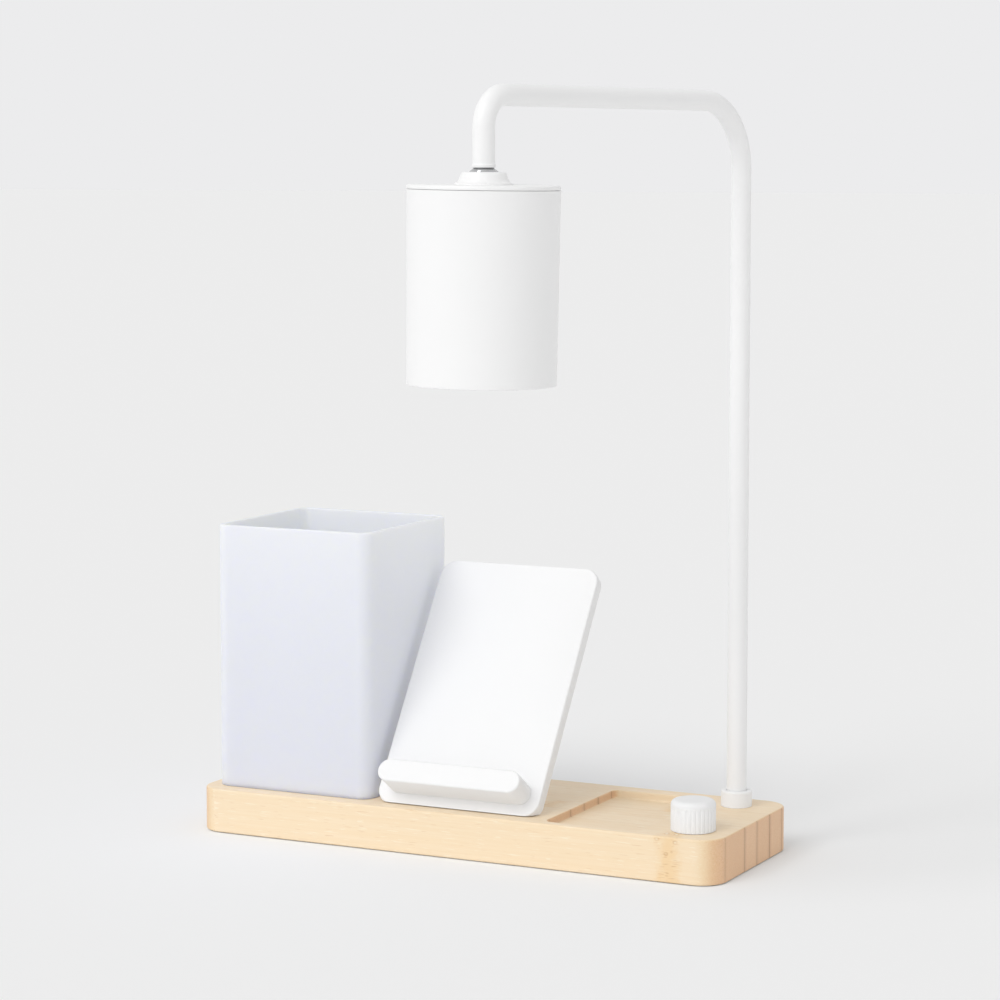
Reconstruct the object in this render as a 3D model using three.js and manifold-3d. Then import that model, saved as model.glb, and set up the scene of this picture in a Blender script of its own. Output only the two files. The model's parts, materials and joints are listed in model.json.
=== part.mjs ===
// Desk lamp with organizer, in millimetres, +Z up.
// A laminated bamboo board carries a square cup, a leaning phone stand, a shallow tray, a dimmer
// knob and a bent tube, from which a small drum shade hangs on a ball swivel.
// The origin is the centre of the pad under the board. +X runs along the board to the knob's end,
// and -Y is the board's front.

import * as THREE from 'three';
import { mergeVertices } from 'three/addons/utils/BufferGeometryUtils.js';
import Module from 'manifold-3d';

const wasm = await Module();
wasm.setup();

// Gaps that hold all over the lamp
const seat = 0.2; // between faces that bear on each other
const running = 0.3; // around what turns or slides
const threadGap = 0.15; // around what is screwed or pressed in
const overrun = 1; // how far a cut runs past the face that it opens

// Bamboo board and what closes it below
const baseLength = 290;
const baseDepth = 100;
const boardThickness = 22.5;
const boardCorner = 13.5;
const boardEdge = 1;
const padThickness = 0.8;
const padProud = 0.3; // how far the pad stands out below the board
const padScrewHole = 4;
const coverMargin = 7;
const coverSideMargin = 5;
const coverThickness = 1.8;
const coverCorner = 8;
const coverGap = 0.3;

// Tray cut into the board
const trayShare = 0.174; // of the board's length
const trayToStand = 6.6;
const trayFrontRim = 6;
const trayBackRim = 10;
const trayFall = 4;
const trayCorner = 4;

// Square cup
const cupShare = 0.31; // of the board's length
const cupHeight = 136;
const cupWall = 2.4;
const cupFloor = 3;
const cupCorner = 7.5;
const cupEdge = 0.8;
const cupEndMargin = 6.2;
const cupFrontMargin = 9.6;
const cupFootRadius = 29;
const cupFootDepth = 2;

// Phone stand
const standShare = 0.31; // of the board's length
const standLength = 138;
const standPlate = 6.8;
const standCorner = 8.5;
const standEdge = 0.8;
const standLean = 34; // degrees back from upright
const standFrontMargin = 8.9;
const ledgeInset = 5.5;
const ledgeThickness = 12;
const ledgeReach = 16;
const ledgeRise = 5.8;
const ledgeEdge = 1;
const tenonInset = 15;
const tenonThickness = 6;
const tenonDepth = 13;
const tenonRoot = 1;
const standScrewShare = 1 / 3; // of the tenon's width, from its middle

// Knob and dimmer
const knobEndMargin = 20.2;
const knobFrontMargin = 19.5;
const knobRadius = 11;
const knobHeight = 15;
const knobShoulder = 3.2;
const knobFoot = 1.2;
const knobFlutes = 30;
const fluteRadius = 0.8;
const fluteFall = 0.45;
const fluteTopMargin = 4;
const knobCavityRadius = 7.5;
const knobCavityHeight = 6;
const knobRoof = 2.2;
const dimmerCaseRadius = 8.5;
const dimmerCaseHeight = 9;
const dimmerCaseFloor = 1.8;
const dimmerBushRadius = 4;
const dimmerBushTop = 4;
const dimmerShaftRadius = 3;
const dimmerWasherRadius = 6.5;
const dimmerWasherThickness = 0.6;
const dimmerNutFlats = 11;
const dimmerNutHeight = 2.2;

// Pole, arm and the collar that it turns in
const poleEndMargin = 22.6;
const poleBackMargin = 18.5;
const tubeRadius = 5;
const tubeWall = 1;
const armHeight = 374.6;
const armReach = 208;
const armTurn = 79; // degrees from along the board towards the front
const poleBend = 33;
const shadeBend = 14.7;
const dropLength = 32.2;
const collarRadius = 7.8;
const collarHeight = 8;
const collarEdge = 0.8;
const sleeveRadius = 6.5;
const sleeveReach = 4.4;
const sleeveStep = 3.4;
const collarWood = 5.8;
const collarNutFlats = 18;
const collarNutHeight = 3.8;
const collarNutRoom = 11;
const nippleRadius = 3.8;
const nippleBore = 2.6;
const nippleInPole = 12;
const poleWasherRadius = 6.4;
const poleWasherThickness = 0.8;
const poleNutFlats = 13;
const poleNutHeight = 3;

// Room for the works under the board
const worksCeiling = 13; // height of the room above the board's underside
const worksLength = 64;
const worksEndWall = 25;
const worksBayWall = 10.5;
const worksBayOverlap = 6;
const worksBayDepth = 25;
const worksWall = 9; // wood left at the front and back
const worksCorner = 3;
const ballastCeiling = 10.5;
const ballastThickness = 8;
const ballastEndWall = 23;
const ballastWorksWall = 14;
const ballastFrontWall = 22;
const ballastBackWall = 11;
const ballastGap = 1;
const ballastCorner = 4;
const ballastScrewInset = 14;

// Control board
const cardLength = 50;
const cardShare = 0.4; // of the board's depth
const cardThickness = 1.6;
const cardSideGap = 4;
const cardFrontGap = 15;
const postRadius = 2.6;
const postHeight = 2;
const postInset = 4;
const terminalSize = [16, 8, 6];
const terminalBack = 3;
const chokeRadius = 6;
const chokeHeight = 5.6;
const chokeHoleShare = 1 / 3; // of its radius
const chokeInset = 12;
const capacitorRadius = 3.5;
const capacitorLength = 12;
const capacitorInset = 12;

// Cord gland in the back wall, and the leads inside
const glandInset = 29;
const glandHeight = 8.3;
const glandRadius = 3.6;
const glandFlange = 5;
const glandFlangeThickness = 1.6;
const glandBore = 2.2;
const leadRadius = 1.5;
const leadEndGap = 0.6;
const leadTurnShare = 3; // bend radius over the lead's own
const leadTightShare = 2; // the same where it turns to the dimmer

// Ball swivel
const ballRadius = 9.3;
const ballDrop = 8.3;
const ballNeck = 4.2;
const ballBore = 2.3;
const spigotLength = 10;
const housingTop = 6.5;
const housingShoulder = 9.6;
const housingShoulderEdge = 1.2;
const housingFlange = 12.2;
const sleeveOuter = 11;
const housingDepth = 12.5;
const housingNutFlats = 27;
const housingNutHeight = 3.4;
const pressureCupTop = 4.3;
const pressureCupHeight = 6.2;
const pressureCupBore = 3.5;
const plugThickness = 2;
const stemRadius = 4.8;
const stemLength = 15.6;

// Shade and light engine
const shadeRadius = 34;
const shadeWall = 1;
const shadeTaper = 0.7; // how much smaller its radius is at the mouth
const shadeLean = 0.8; // degrees that the mouth leans towards the cup
const shadeLength = 85.8;
const capThickness = 2;
const capEdge = 0.8;
const capDrop = 0.9; // cap's top above the ball's centre
const capSpigotDepth = 7;
const capSpigotWall = 1.2;
const sinkRadius = 31;
const sinkThickness = 4;
const sinkHubRadius = 9;
const sinkHubHeight = 15;
const sinkTopDrop = 16.1; // hub's top below the ball's centre
const sinkFins = 12;
const finThickness = 1.6;
const finHeight = 11;
const finTip = 30;
const ledBoardRadius = 27;
const ledBoardThickness = 1.6;
const ledScrewCircle = 20;
const reflectorTopRadius = 28.2;
const reflectorWall = 1;
const reflectorHeight = 23.4;
const diffuserThickness = 2.3;
const diffuserGap = 0.3;
const retainerThickness = 1.6;
const retainerWidth = 2.7;

// Screws: shank radius, head radius, head height, whole length
const coverScrew = { shank: 1.4, head: 2.8, sink: 1.4, length: 10 };
const standScrew = { shank: 1.5, head: 3, sink: 1.5, length: 14 };
const ballastScrew = { shank: 1.7, head: 3.4, sink: 1.7, length: 14 };
const cardScrew = { shank: 1, head: 2, rise: 1.4, length: 4.6 };
const ledScrew = { shank: 1.2, head: 2.3, rise: 1.5, length: 5 };

// Facets of round forms
const largeSegments = 40;
const mediumSegments = 24;
const smallSegments = 16;
const screwSegments = 8;
const fluteSegments = 6;
const cornerSteps = 3;
const hiddenCornerSteps = 2;
const bendSteps = 7;
const leadBendSteps = 3;
const edgeSteps = 2;
const shoulderSteps = 4;
const ballSteps = 8;

// Heights and places that follow from the sizes above
const boardBottom = padProud;
const boardTop = boardBottom + boardThickness;
const coverBottom = padThickness + seat;
const coverTop = coverBottom + coverThickness;
const rebateTop = coverTop + seat;
const coverLength = baseLength - 2 * coverMargin;
const coverDepth = baseDepth - 2 * coverSideMargin;
const knobX = baseLength / 2 - knobEndMargin;
const poleX = baseLength / 2 - poleEndMargin;
const knobY = knobFrontMargin - baseDepth / 2;
const poleY = baseDepth / 2 - poleBackMargin;
const worksTop = coverBottom + worksCeiling;
const worksRight = baseLength / 2 - worksEndWall;
const worksLeft = worksRight - worksLength;
const worksBayRight = baseLength / 2 - worksBayWall;
const ballastRoomLeft = ballastEndWall - baseLength / 2;
const ballastRoomRight = worksLeft - ballastWorksWall;
const ballastRoomFront = ballastFrontWall - baseDepth / 2;
const ballastRoomBack = baseDepth / 2 - ballastBackWall;
const cupSide = baseLength * cupShare;
const cupX = cupEndMargin + cupSide / 2 - baseLength / 2;
const cupY = cupFrontMargin + cupSide / 2 - baseDepth / 2;
const standWidth = baseLength * standShare;
const standFront = standFrontMargin - baseDepth / 2;
const ledgeWidth = standWidth - 2 * ledgeInset;
const tenonWidth = standWidth - 2 * tenonInset;
const glandX = worksLeft + glandInset;
const lean = THREE.MathUtils.degToRad(standLean);
const turn = THREE.MathUtils.degToRad(armTurn);
const armDirection = new THREE.Vector3(-Math.cos(turn), -Math.sin(turn), 0);
const shadeX = poleX + armReach * armDirection.x;
const shadeY = poleY + armReach * armDirection.y;
const tubeEnd = armHeight - dropLength;
const ballHeight = tubeEnd - ballDrop;

// Finishes
const finish = (color, roughness, metalness = 0) =>
  new THREE.MeshStandardMaterial({ color, roughness, metalness });
const bamboo = finish(0xe2c296, 0.5);
const whiteMetal = finish(0xf1f0ee, 0.4);
const whitePlastic = finish(0xf4f3f1, 0.45);
const frosted = finish(0xdfe3ea, 0.35);
const chrome = finish(0xc8cacc, 0.08, 1);
const steel = finish(0x9b9da0, 0.35, 1);
const brass = finish(0xb98d3e, 0.3, 1);
const aluminium = finish(0xb4b6b8, 0.4, 0.9);
const rubber = finish(0x2a2a2b, 0.8);
const darkPlastic = finish(0x232426, 0.55);
const cardGreen = finish(0x1f5a3a, 0.5);
const copperRed = finish(0x9a4a25, 0.45);
const diffuserWhite = finish(0xf7f5ef, 0.5);
const leadSheath = finish(0xe8e6e1, 0.6);

/** A closed mesh of a geometry: positions only, shared corners merged, empty triangles dropped. */
function closedMesh(geometry) {
  const bare = geometry.clone();
  bare.deleteAttribute('normal');
  bare.deleteAttribute('uv');
  const merged = mergeVertices(bare);
  const corners = merged.index.array;
  const kept = [];
  for (let i = 0; i < corners.length; i += 3) {
    const [a, b, c] = corners.slice(i, i + 3);
    if (a !== b && b !== c && c !== a) kept.push(a, b, c);
  }
  merged.setIndex(kept);
  return merged;
}

/** The solid that a closed three.js geometry bounds. */
function solid(geometry) {
  const mesh = closedMesh(geometry);
  return new wasm.Manifold(new wasm.Mesh({
    numProp: 3,
    vertProperties: new Float32Array(mesh.attributes.position.array),
    triVerts: new Uint32Array(mesh.index.array),
  }));
}

/** The geometry of a solid. */
function geometryOf(body) {
  const mesh = body.getMesh();
  const geometry = new THREE.BufferGeometry();
  geometry.setAttribute('position', new THREE.BufferAttribute(mesh.vertProperties, 3));
  geometry.setIndex(new THREE.BufferAttribute(mesh.triVerts, 1));
  geometry.computeVertexNormals();
  return geometry;
}

/** A solid with every tool cut out of it. */
const cut = (body, ...tools) => tools.reduce((rest, tool) => rest.subtract(tool), body);

/** Several solids joined into one. */
const join = (first, ...others) => others.reduce((whole, other) => whole.add(other), first);

/** A rectangle with round corners, about (x, y). */
function roundedRectangle(width, depth, radius, x = 0, y = 0) {
  const right = width / 2 - radius;
  const back = depth / 2 - radius;
  const shape = new THREE.Shape();
  shape.absarc(x + right, y - back, radius, -Math.PI / 2, 0);
  shape.absarc(x + right, y + back, radius, 0, Math.PI / 2);
  shape.absarc(x - right, y + back, radius, Math.PI / 2, Math.PI);
  shape.absarc(x - right, y - back, radius, Math.PI, 1.5 * Math.PI);
  shape.closePath();
  return shape;
}

/** An outline raised from one height to another. */
function raised(shape, low, high, curveSegments = cornerSteps) {
  const options = { depth: high - low, bevelEnabled: false, curveSegments };
  return solid(new THREE.ExtrudeGeometry(shape, options).translate(0, 0, low));
}

/** The same with its top and bottom edges rounded inwards. */
function raisedRound(shape, low, high, edge, curveSegments = cornerSteps) {
  const geometry = new THREE.ExtrudeGeometry(shape, {
    depth: high - low - 2 * edge,
    bevelThickness: edge,
    bevelSize: edge,
    bevelOffset: -edge,
    bevelSegments: edgeSteps,
    curveSegments,
  });
  return solid(geometry.translate(0, 0, low + edge));
}

/** A block between two corners. */
function block(low, high) {
  const size = high.map((value, axis) => value - low[axis]);
  const middle = high.map((value, axis) => (value + low[axis]) / 2);
  return solid(new THREE.BoxGeometry(...size).translate(...middle));
}

/** A round bar on the Z axis, moved to (x, y). */
function bar(radius, low, high, segments = smallSegments, x = 0, y = 0) {
  const geometry = new THREE.CylinderGeometry(radius, radius, high - low, segments);
  return solid(geometry.rotateX(Math.PI / 2).translate(x, y, (high + low) / 2));
}

/** A round hole on the Z axis, moved to (x, y), whose flats stay outside its radius. */
const bore = (radius, low, high, segments = smallSegments, x = 0, y = 0) =>
  bar(radius / Math.cos(Math.PI / segments), low, high, segments, x, y);

/** A turned piece: a profile of [radius, height] points, listed up its outside, about the Z axis. */
function turned(profile, segments = smallSegments) {
  const points = profile.map(([radius, height]) => new THREE.Vector2(radius, height));
  return solid(new THREE.LatheGeometry(points, segments).rotateX(Math.PI / 2));
}

/** A turned piece with a hole through it: the profile closes on its first point. */
const turnedRing = (profile, segments) => turned([...profile, profile[0]], segments);

/** Points of an arc in a turned profile, angles in radians from the outward direction. */
function arc(radius, height, size, from, to, steps) {
  const at = (i) => from + ((to - from) * i) / steps;
  return Array.from({ length: steps + 1 }, (_, i) => [
    radius + size * Math.cos(at(i)),
    height + size * Math.sin(at(i)),
  ]);
}

/** A hexagon nut on the Z axis. */
function hexNut(flats, hole, low, high) {
  const corner = flats / Math.sqrt(3);
  const nut = solid(new THREE.CylinderGeometry(corner, corner, high - low, 6).rotateX(Math.PI / 2));
  return cut(nut.translate(0, 0, (high + low) / 2), bore(hole, low - overrun, high + overrun));
}

/** A countersunk screw with its head down at height zero; grown by a gap it is its own hole. */
function sunkScrew({ shank, head, sink, length }, gap = 0) {
  const point = shank / 2 + gap;
  const start = gap > 0 ? [[0, -overrun], [head + gap, -overrun]] : [[0, 0]];
  return turned([
    ...start,
    [head + gap, 0],
    [shank + gap, sink],
    [shank + gap, length - shank],
    [point, length + gap],
    [0, length + gap],
  ], screwSegments);
}

/** A pan-head screw, head up over height zero and shank down; grown by a gap it is its own hole. */
function panScrew({ shank, head, rise, length }, gap = 0) {
  return turned([
    [0, -length - gap],
    [shank / 2 + gap, -length - gap],
    [shank + gap, -length + shank],
    [shank + gap, gap > 0 ? overrun : 0],
    ...(gap > 0 ? [[0, overrun]] : [[head, 0], [head, rise / 2], [head - rise / 2, rise], [0, rise]]),
  ], screwSegments);
}

/** A route of straight runs and round bends, with a point only where it starts, turns or ends. */
class Route extends THREE.Curve {
  constructor(corners, bends, bendSteps) {
    super();
    this.stations = [corners[0].clone()];
    this.headings = [corners[1].clone().sub(corners[0]).normalize()];
    bends.forEach((radius, i) => this.addBend(corners[i], corners[i + 1], corners[i + 2], radius, bendSteps));
    this.stations.push(corners.at(-1).clone());
    this.headings.push(corners.at(-1).clone().sub(corners.at(-2)).normalize());
  }

  addBend(before, corner, after, radius, steps) {
    const incoming = corner.clone().sub(before).normalize();
    const outgoing = after.clone().sub(corner).normalize();
    const angle = incoming.angleTo(outgoing);
    const inward = outgoing.clone().addScaledVector(incoming, -Math.cos(angle)).normalize();
    const start = corner.clone().addScaledVector(incoming, -radius * Math.tan(angle / 2));
    for (let i = 0; i <= steps; i += 1) {
      const swept = (angle * i) / steps;
      const along = start.clone().addScaledVector(incoming, radius * Math.sin(swept));
      this.stations.push(along.addScaledVector(inward, radius * (1 - Math.cos(swept))));
      const heading = incoming.clone().multiplyScalar(Math.cos(swept));
      this.headings.push(heading.addScaledVector(inward, Math.sin(swept)));
    }
  }

  get steps() {
    return this.stations.length - 1;
  }

  getPoint(t) {
    return this.stations[Math.round(t * this.steps)].clone();
  }

  getPointAt(t) {
    return this.getPoint(t);
  }

  getTangentAt(t) {
    return this.headings[Math.round(t * this.steps)].clone();
  }
}

/** A round or hollow section, of an even number of sides, swept along a route. */
function swept(route, radius, hollow, sides) {
  const section = new THREE.Shape().absarc(0, 0, radius, 0, 2 * Math.PI);
  if (hollow > 0) section.holes.push(new THREE.Path().absarc(0, 0, hollow, 0, 2 * Math.PI, true));
  return solid(new THREE.ExtrudeGeometry(section, {
    steps: route.steps,
    extrudePath: route,
    bevelEnabled: false,
    curveSegments: sides / 2,
  }));
}

/** A named piece with its finish. */
function piece(name, body, material, x = 0, y = 0, z = 0) {
  const mesh = new THREE.Mesh(geometryOf(body), material);
  mesh.name = name;
  mesh.position.set(x, y, z);
  return mesh;
}

/** Pieces that share a place. */
function placed(x, y, z, ...pieces) {
  const group = new THREE.Group();
  group.position.set(x, y, z);
  group.add(...pieces);
  return group;
}

// Screw places

const coverScrewPlaces = [
  [ballastRoomLeft - worksWall, ballastRoomFront - worksWall],
  [ballastRoomLeft - worksWall, ballastRoomBack - coverScrew.head],
  [(ballastRoomRight + worksLeft) / 2, ballastRoomFront - worksWall],
  [(ballastRoomRight + worksLeft) / 2, ballastRoomBack - coverScrew.head],
  [(worksRight + worksBayRight) / 2 + coverScrew.head, 0],
];

const tenonMiddle = standFront + standPlate / Math.cos(lean) / 2;
const standScrewPlaces = [-1, 1].map((side) => [side * tenonWidth * standScrewShare, tenonMiddle]);

const ballastY = (ballastRoomFront + ballastRoomBack) / 2;
const ballastScrewPlaces = [
  [ballastRoomLeft + ballastGap + ballastScrewInset, ballastY],
  [ballastRoomRight - ballastGap - ballastScrewInset, ballastY],
];

/** Copies of one tool at several places. */
const at = (places, height, tool) => places.map(([x, y]) => tool.translate(x, y, height));

// Board, pad, cover and ballast

const trayDepth = baseDepth - trayFrontRim - trayBackRim;
const trayLength = baseLength * trayShare;
const trayX = (standWidth + trayLength) / 2 + trayToStand;
const trayY = (trayFrontRim - trayBackRim) / 2;
const mortiseFloor = boardTop - tenonDepth;
const worksHalf = baseDepth / 2 - worksWall;
const ballastTop = coverBottom + ballastCeiling;

/** The room for the dimmer, the control board and the pole's foot. */
function worksRoom() {
  const low = rebateTop - overrun;
  const room = (left, right, front, back) => raised(
    roundedRectangle(right - left, back - front, worksCorner, (left + right) / 2, (front + back) / 2),
    low,
    worksTop,
    hiddenCornerSteps,
  );
  const bayLeft = worksRight - worksBayOverlap;
  return join(
    room(worksLeft, worksRight, -worksHalf, worksHalf),
    room(bayLeft, worksBayRight, -worksHalf, worksBayDepth - worksHalf),
    room(bayLeft, worksBayRight, worksHalf - worksBayDepth, worksHalf),
    bore(collarNutRoom, low, boardTop - collarWood, mediumSegments, poleX, poleY),
  );
}

function ballastRoom() {
  const shape = roundedRectangle(
    ballastRoomRight - ballastRoomLeft,
    ballastRoomBack - ballastRoomFront,
    ballastCorner,
    (ballastRoomRight + ballastRoomLeft) / 2,
    ballastY,
  );
  return raised(shape, rebateTop - overrun, ballastTop, hiddenCornerSteps);
}

function baseBoard() {
  const outline = roundedRectangle(baseLength, baseDepth, boardCorner);
  const rebate = roundedRectangle(coverLength, coverDepth, coverCorner);
  const tray = roundedRectangle(trayLength, trayDepth, trayCorner, trayX, trayY);
  const mortise = block(
    [-tenonWidth / 2 - running, tenonMiddle - tenonThickness / 2 - running, mortiseFloor],
    [tenonWidth / 2 + running, tenonMiddle + tenonThickness / 2 + running, boardTop + overrun],
  );
  const glandHole = bore(glandRadius + threadGap, 0, worksWall + 2 * overrun).rotate(-90, 0, 0);
  return cut(
    raisedRound(outline, boardBottom, boardTop, boardEdge),
    raised(rebate, boardBottom - overrun, rebateTop, hiddenCornerSteps),
    raised(tray, boardTop - trayFall, boardTop + overrun),
    bore(cupFootRadius + running, boardTop - cupFootDepth, boardTop + overrun, largeSegments, cupX, cupY),
    mortise,
    worksRoom(),
    ballastRoom(),
    bore(dimmerBushRadius + running, worksTop - overrun, boardTop + overrun, smallSegments, knobX, knobY),
    bore(sleeveRadius + running, worksTop, boardTop + overrun, mediumSegments, poleX, poleY),
    glandHole.translate(glandX, worksHalf - overrun, boardBottom + glandHeight),
    ...at(coverScrewPlaces, coverBottom, sunkScrew(coverScrew, threadGap)),
    ...at(standScrewPlaces, rebateTop + seat, sunkScrew(standScrew, threadGap)),
    ...at(ballastScrewPlaces, rebateTop + seat, sunkScrew(ballastScrew, threadGap)),
  );
}

/** The outline of the cover and of the pad under it. */
const coverOutline = () =>
  roundedRectangle(coverLength - 2 * coverGap, coverDepth - 2 * coverGap, coverCorner - coverGap);

function undersidePad() {
  const outline = coverOutline();
  const hole = bore(padScrewHole, -overrun, padThickness + overrun, screwSegments);
  return cut(raised(outline, 0, padThickness, hiddenCornerSteps), ...at(coverScrewPlaces, 0, hole));
}

const cardWidth = baseDepth * cardShare;
const cardLeft = worksLeft + cardSideGap;
const cardFront = cardFrontGap - worksHalf;
const cardX = cardLeft + cardLength / 2;
const cardY = cardFront + cardWidth / 2;
const postPlaces = [-1, 1].flatMap((side) => [-1, 1].map((end) => [
  cardX + side * (cardLength / 2 - postInset),
  cardY + end * (cardWidth / 2 - postInset),
]));
const cardScrewPlaces = [postPlaces.at(0), postPlaces.at(-1)];
const cardBottom = coverTop + postHeight + seat;
const cardTop = cardBottom + cardThickness;

function bottomCover() {
  const post = bar(postRadius, coverTop - overrun, coverTop + postHeight, screwSegments);
  return cut(
    join(raised(coverOutline(), coverBottom, coverTop, hiddenCornerSteps), ...at(postPlaces, 0, post)),
    ...at(coverScrewPlaces, coverBottom, sunkScrew(coverScrew, threadGap)),
    ...at(cardScrewPlaces, cardTop, panScrew(cardScrew, threadGap)),
  );
}

function ballastPlate() {
  const outline = roundedRectangle(
    ballastRoomRight - ballastRoomLeft - 2 * ballastGap,
    ballastRoomBack - ballastRoomFront - 2 * ballastGap,
    ballastCorner,
    (ballastRoomRight + ballastRoomLeft) / 2,
    ballastY,
  );
  const low = rebateTop + seat;
  return cut(
    raised(outline, low, low + ballastThickness, hiddenCornerSteps),
    ...at(ballastScrewPlaces, low, sunkScrew(ballastScrew, threadGap)),
  );
}

/** Numbered screws of one kind. */
const screws = (name, places, height, body) => places.map(([x, y], i) =>
  piece(`${name}_${i + 1}`, body, steel, x, y, height));

const baseGroup = placed(0, 0, 0,
  piece('base_board', baseBoard(), bamboo),
  piece('underside_pad', undersidePad(), rubber),
  piece('bottom_cover', bottomCover(), darkPlastic),
  piece('ballast_plate', ballastPlate(), steel),
  ...screws('cover_screw', coverScrewPlaces, coverBottom, sunkScrew(coverScrew)),
  ...screws('ballast_screw', ballastScrewPlaces, rebateTop + seat, sunkScrew(ballastScrew)),
);

// Cup: its round foot stands in a shallow recess of the board

function cup() {
  const inner = cupSide - 2 * cupWall;
  return cut(
    join(
      raisedRound(roundedRectangle(cupSide, cupSide, cupCorner), 0, cupHeight, cupEdge),
      bar(cupFootRadius, seat - cupFootDepth, cupFloor / 2, largeSegments),
    ),
    raised(roundedRectangle(inner, inner, cupCorner - cupWall), cupFloor, cupHeight + overrun),
  );
}

const cupPiece = piece('cup', cup(), frosted, cupX, cupY, boardTop + seat);

// Phone stand: the plate's front lower edge is its origin, and the plate is cut flat at the board

function standBody() {
  const plateOutline = roundedRectangle(standWidth, standLength, standCorner, 0, standLength / 2);
  const ledgeOutline = roundedRectangle(
    ledgeWidth,
    ledgeThickness,
    ledgeThickness / 2,
    0,
    ledgeRise + ledgeThickness / 2,
  );
  const tilt = 90 - standLean;
  const plate = raisedRound(plateOutline, -standPlate, 0, standEdge).rotate(tilt, 0, 0);
  const ledge = raisedRound(ledgeOutline, -standPlate / 2, ledgeReach, ledgeEdge);
  const below = block([-standWidth, -standWidth, -standLength], [standWidth, standWidth, 0]);
  const tenonY = tenonMiddle - standFront;
  const tenon = block(
    [-tenonWidth / 2, tenonY - tenonThickness / 2, seat - tenonDepth],
    [tenonWidth / 2, tenonY + tenonThickness / 2, tenonRoot],
  );
  const screwHeight = rebateTop - boardTop;
  const holes = standScrewPlaces.map(([x, y]) =>
    sunkScrew(standScrew, threadGap).translate(x, y - standFront, screwHeight));
  return cut(join(cut(join(plate, ledge.rotate(tilt, 0, 0)), below), tenon), ...holes);
}

const standGroup = placed(0, 0, 0,
  piece('stand_plate', standBody(), whitePlastic, 0, standFront, boardTop + seat),
  ...screws('stand_screw', standScrewPlaces, rebateTop + seat, sunkScrew(standScrew)),
);

// Dimmer and knob, about the knob's axis, with the board's top at height zero

const caseTop = worksTop - boardTop - seat;
const caseBottom = caseTop - dimmerCaseHeight;
const washerLow = seat;
const nutLow = washerLow + dimmerWasherThickness + seat;
const knobTop = running + knobHeight;
const shaftTop = knobTop - knobRoof - threadGap;
const shaftLow = caseBottom + dimmerCaseFloor + seat;

function dimmerCase() {
  return cut(
    bar(dimmerCaseRadius, caseBottom, caseTop, mediumSegments),
    bore(dimmerShaftRadius + running, shaftLow - seat, caseTop + overrun),
  );
}

function dimmerBush() {
  return turnedRing([
    [dimmerShaftRadius + running, caseTop + seat],
    [dimmerBushRadius, caseTop + seat],
    [dimmerBushRadius, dimmerBushTop],
    [dimmerShaftRadius + running, dimmerBushTop],
  ]);
}

function knobBody() {
  const foot = running;
  const quarter = Math.PI / 2;
  const body = turned([
    [0, foot],
    ...arc(knobRadius - knobFoot, foot + knobFoot, knobFoot, -quarter, 0, edgeSteps),
    ...arc(knobRadius - knobShoulder, knobTop - knobShoulder, knobShoulder, 0, quarter, shoulderSteps),
    [0, knobTop],
  ], knobFlutes);
  const fluteCentre = knobRadius - fluteFall + fluteRadius;
  const flute = bar(fluteRadius, 0, knobTop - fluteTopMargin, fluteSegments);
  const flutes = Array.from({ length: knobFlutes }, (_, i) => {
    const angle = (2 * Math.PI * i) / knobFlutes;
    return flute.translate(fluteCentre * Math.cos(angle), fluteCentre * Math.sin(angle), 0);
  });
  return cut(
    body,
    join(...flutes),
    bore(knobCavityRadius, -overrun, foot + knobCavityHeight, mediumSegments),
    bore(dimmerShaftRadius + threadGap, 0, knobTop - knobRoof),
  );
}

const dimmerGroup = placed(knobX, knobY, boardTop,
  piece('knob', knobBody(), whitePlastic),
  piece('dimmer_shaft', bar(dimmerShaftRadius, shaftLow, shaftTop), steel),
  piece('dimmer_case', dimmerCase(), darkPlastic),
  piece('dimmer_bush', dimmerBush(), brass),
  piece('dimmer_washer', turnedRing([
    [dimmerBushRadius + threadGap, washerLow],
    [dimmerWasherRadius, washerLow],
    [dimmerWasherRadius, washerLow + dimmerWasherThickness],
    [dimmerBushRadius + threadGap, washerLow + dimmerWasherThickness],
  ]), steel),
  piece('dimmer_nut',
    hexNut(dimmerNutFlats, dimmerBushRadius + threadGap, nutLow, nutLow + dimmerNutHeight), brass),
);

// Control board on the cover's posts

const terminalX = cardX + cardLength / 2 - terminalSize[0] / 2 - 2 * postInset;
const terminalY = cardY + cardWidth / 2 - terminalSize[1] / 2 - terminalBack;

function controlBoard() {
  const low = [cardLeft, cardFront, cardBottom];
  const high = [cardLeft + cardLength, cardFront + cardWidth, cardTop];
  return cut(block(low, high), ...at(cardScrewPlaces, cardTop, panScrew(cardScrew, threadGap)));
}

function terminalBlock() {
  const [length, width, height] = terminalSize;
  const body = block([-length / 2, -width / 2, seat], [length / 2, width / 2, seat + height]);
  const mouth = bore(leadRadius + threadGap, 0, width).rotate(-90, 0, 0);
  return cut(body, mouth.translate(length / 4, 0, height / 2), mouth.translate(-length / 4, 0, height / 2));
}

const capacitorBody = bar(capacitorRadius, -capacitorLength / 2, capacitorLength / 2).rotate(0, 90, 0);
const controlGroup = placed(0, 0, 0,
  piece('control_board', controlBoard(), cardGreen),
  piece('terminal_block', terminalBlock(), darkPlastic, terminalX, terminalY, cardTop),
  piece('board_choke', turnedRing([
    [chokeRadius * chokeHoleShare, seat],
    [chokeRadius, seat],
    [chokeRadius, chokeHeight],
    [chokeRadius * chokeHoleShare, chokeHeight],
  ]), copperRed, cardX - cardLength / 2 + chokeInset, cardY, cardTop),
  piece('board_capacitor', capacitorBody, darkPlastic,
    cardX, cardFront + capacitorInset, cardTop + seat + capacitorRadius),
  ...screws('board_screw', cardScrewPlaces, cardTop + seat, panScrew(cardScrew)),
);

// Collar, pole and arm, about the pole's axis, with the board's top at height zero

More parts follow.
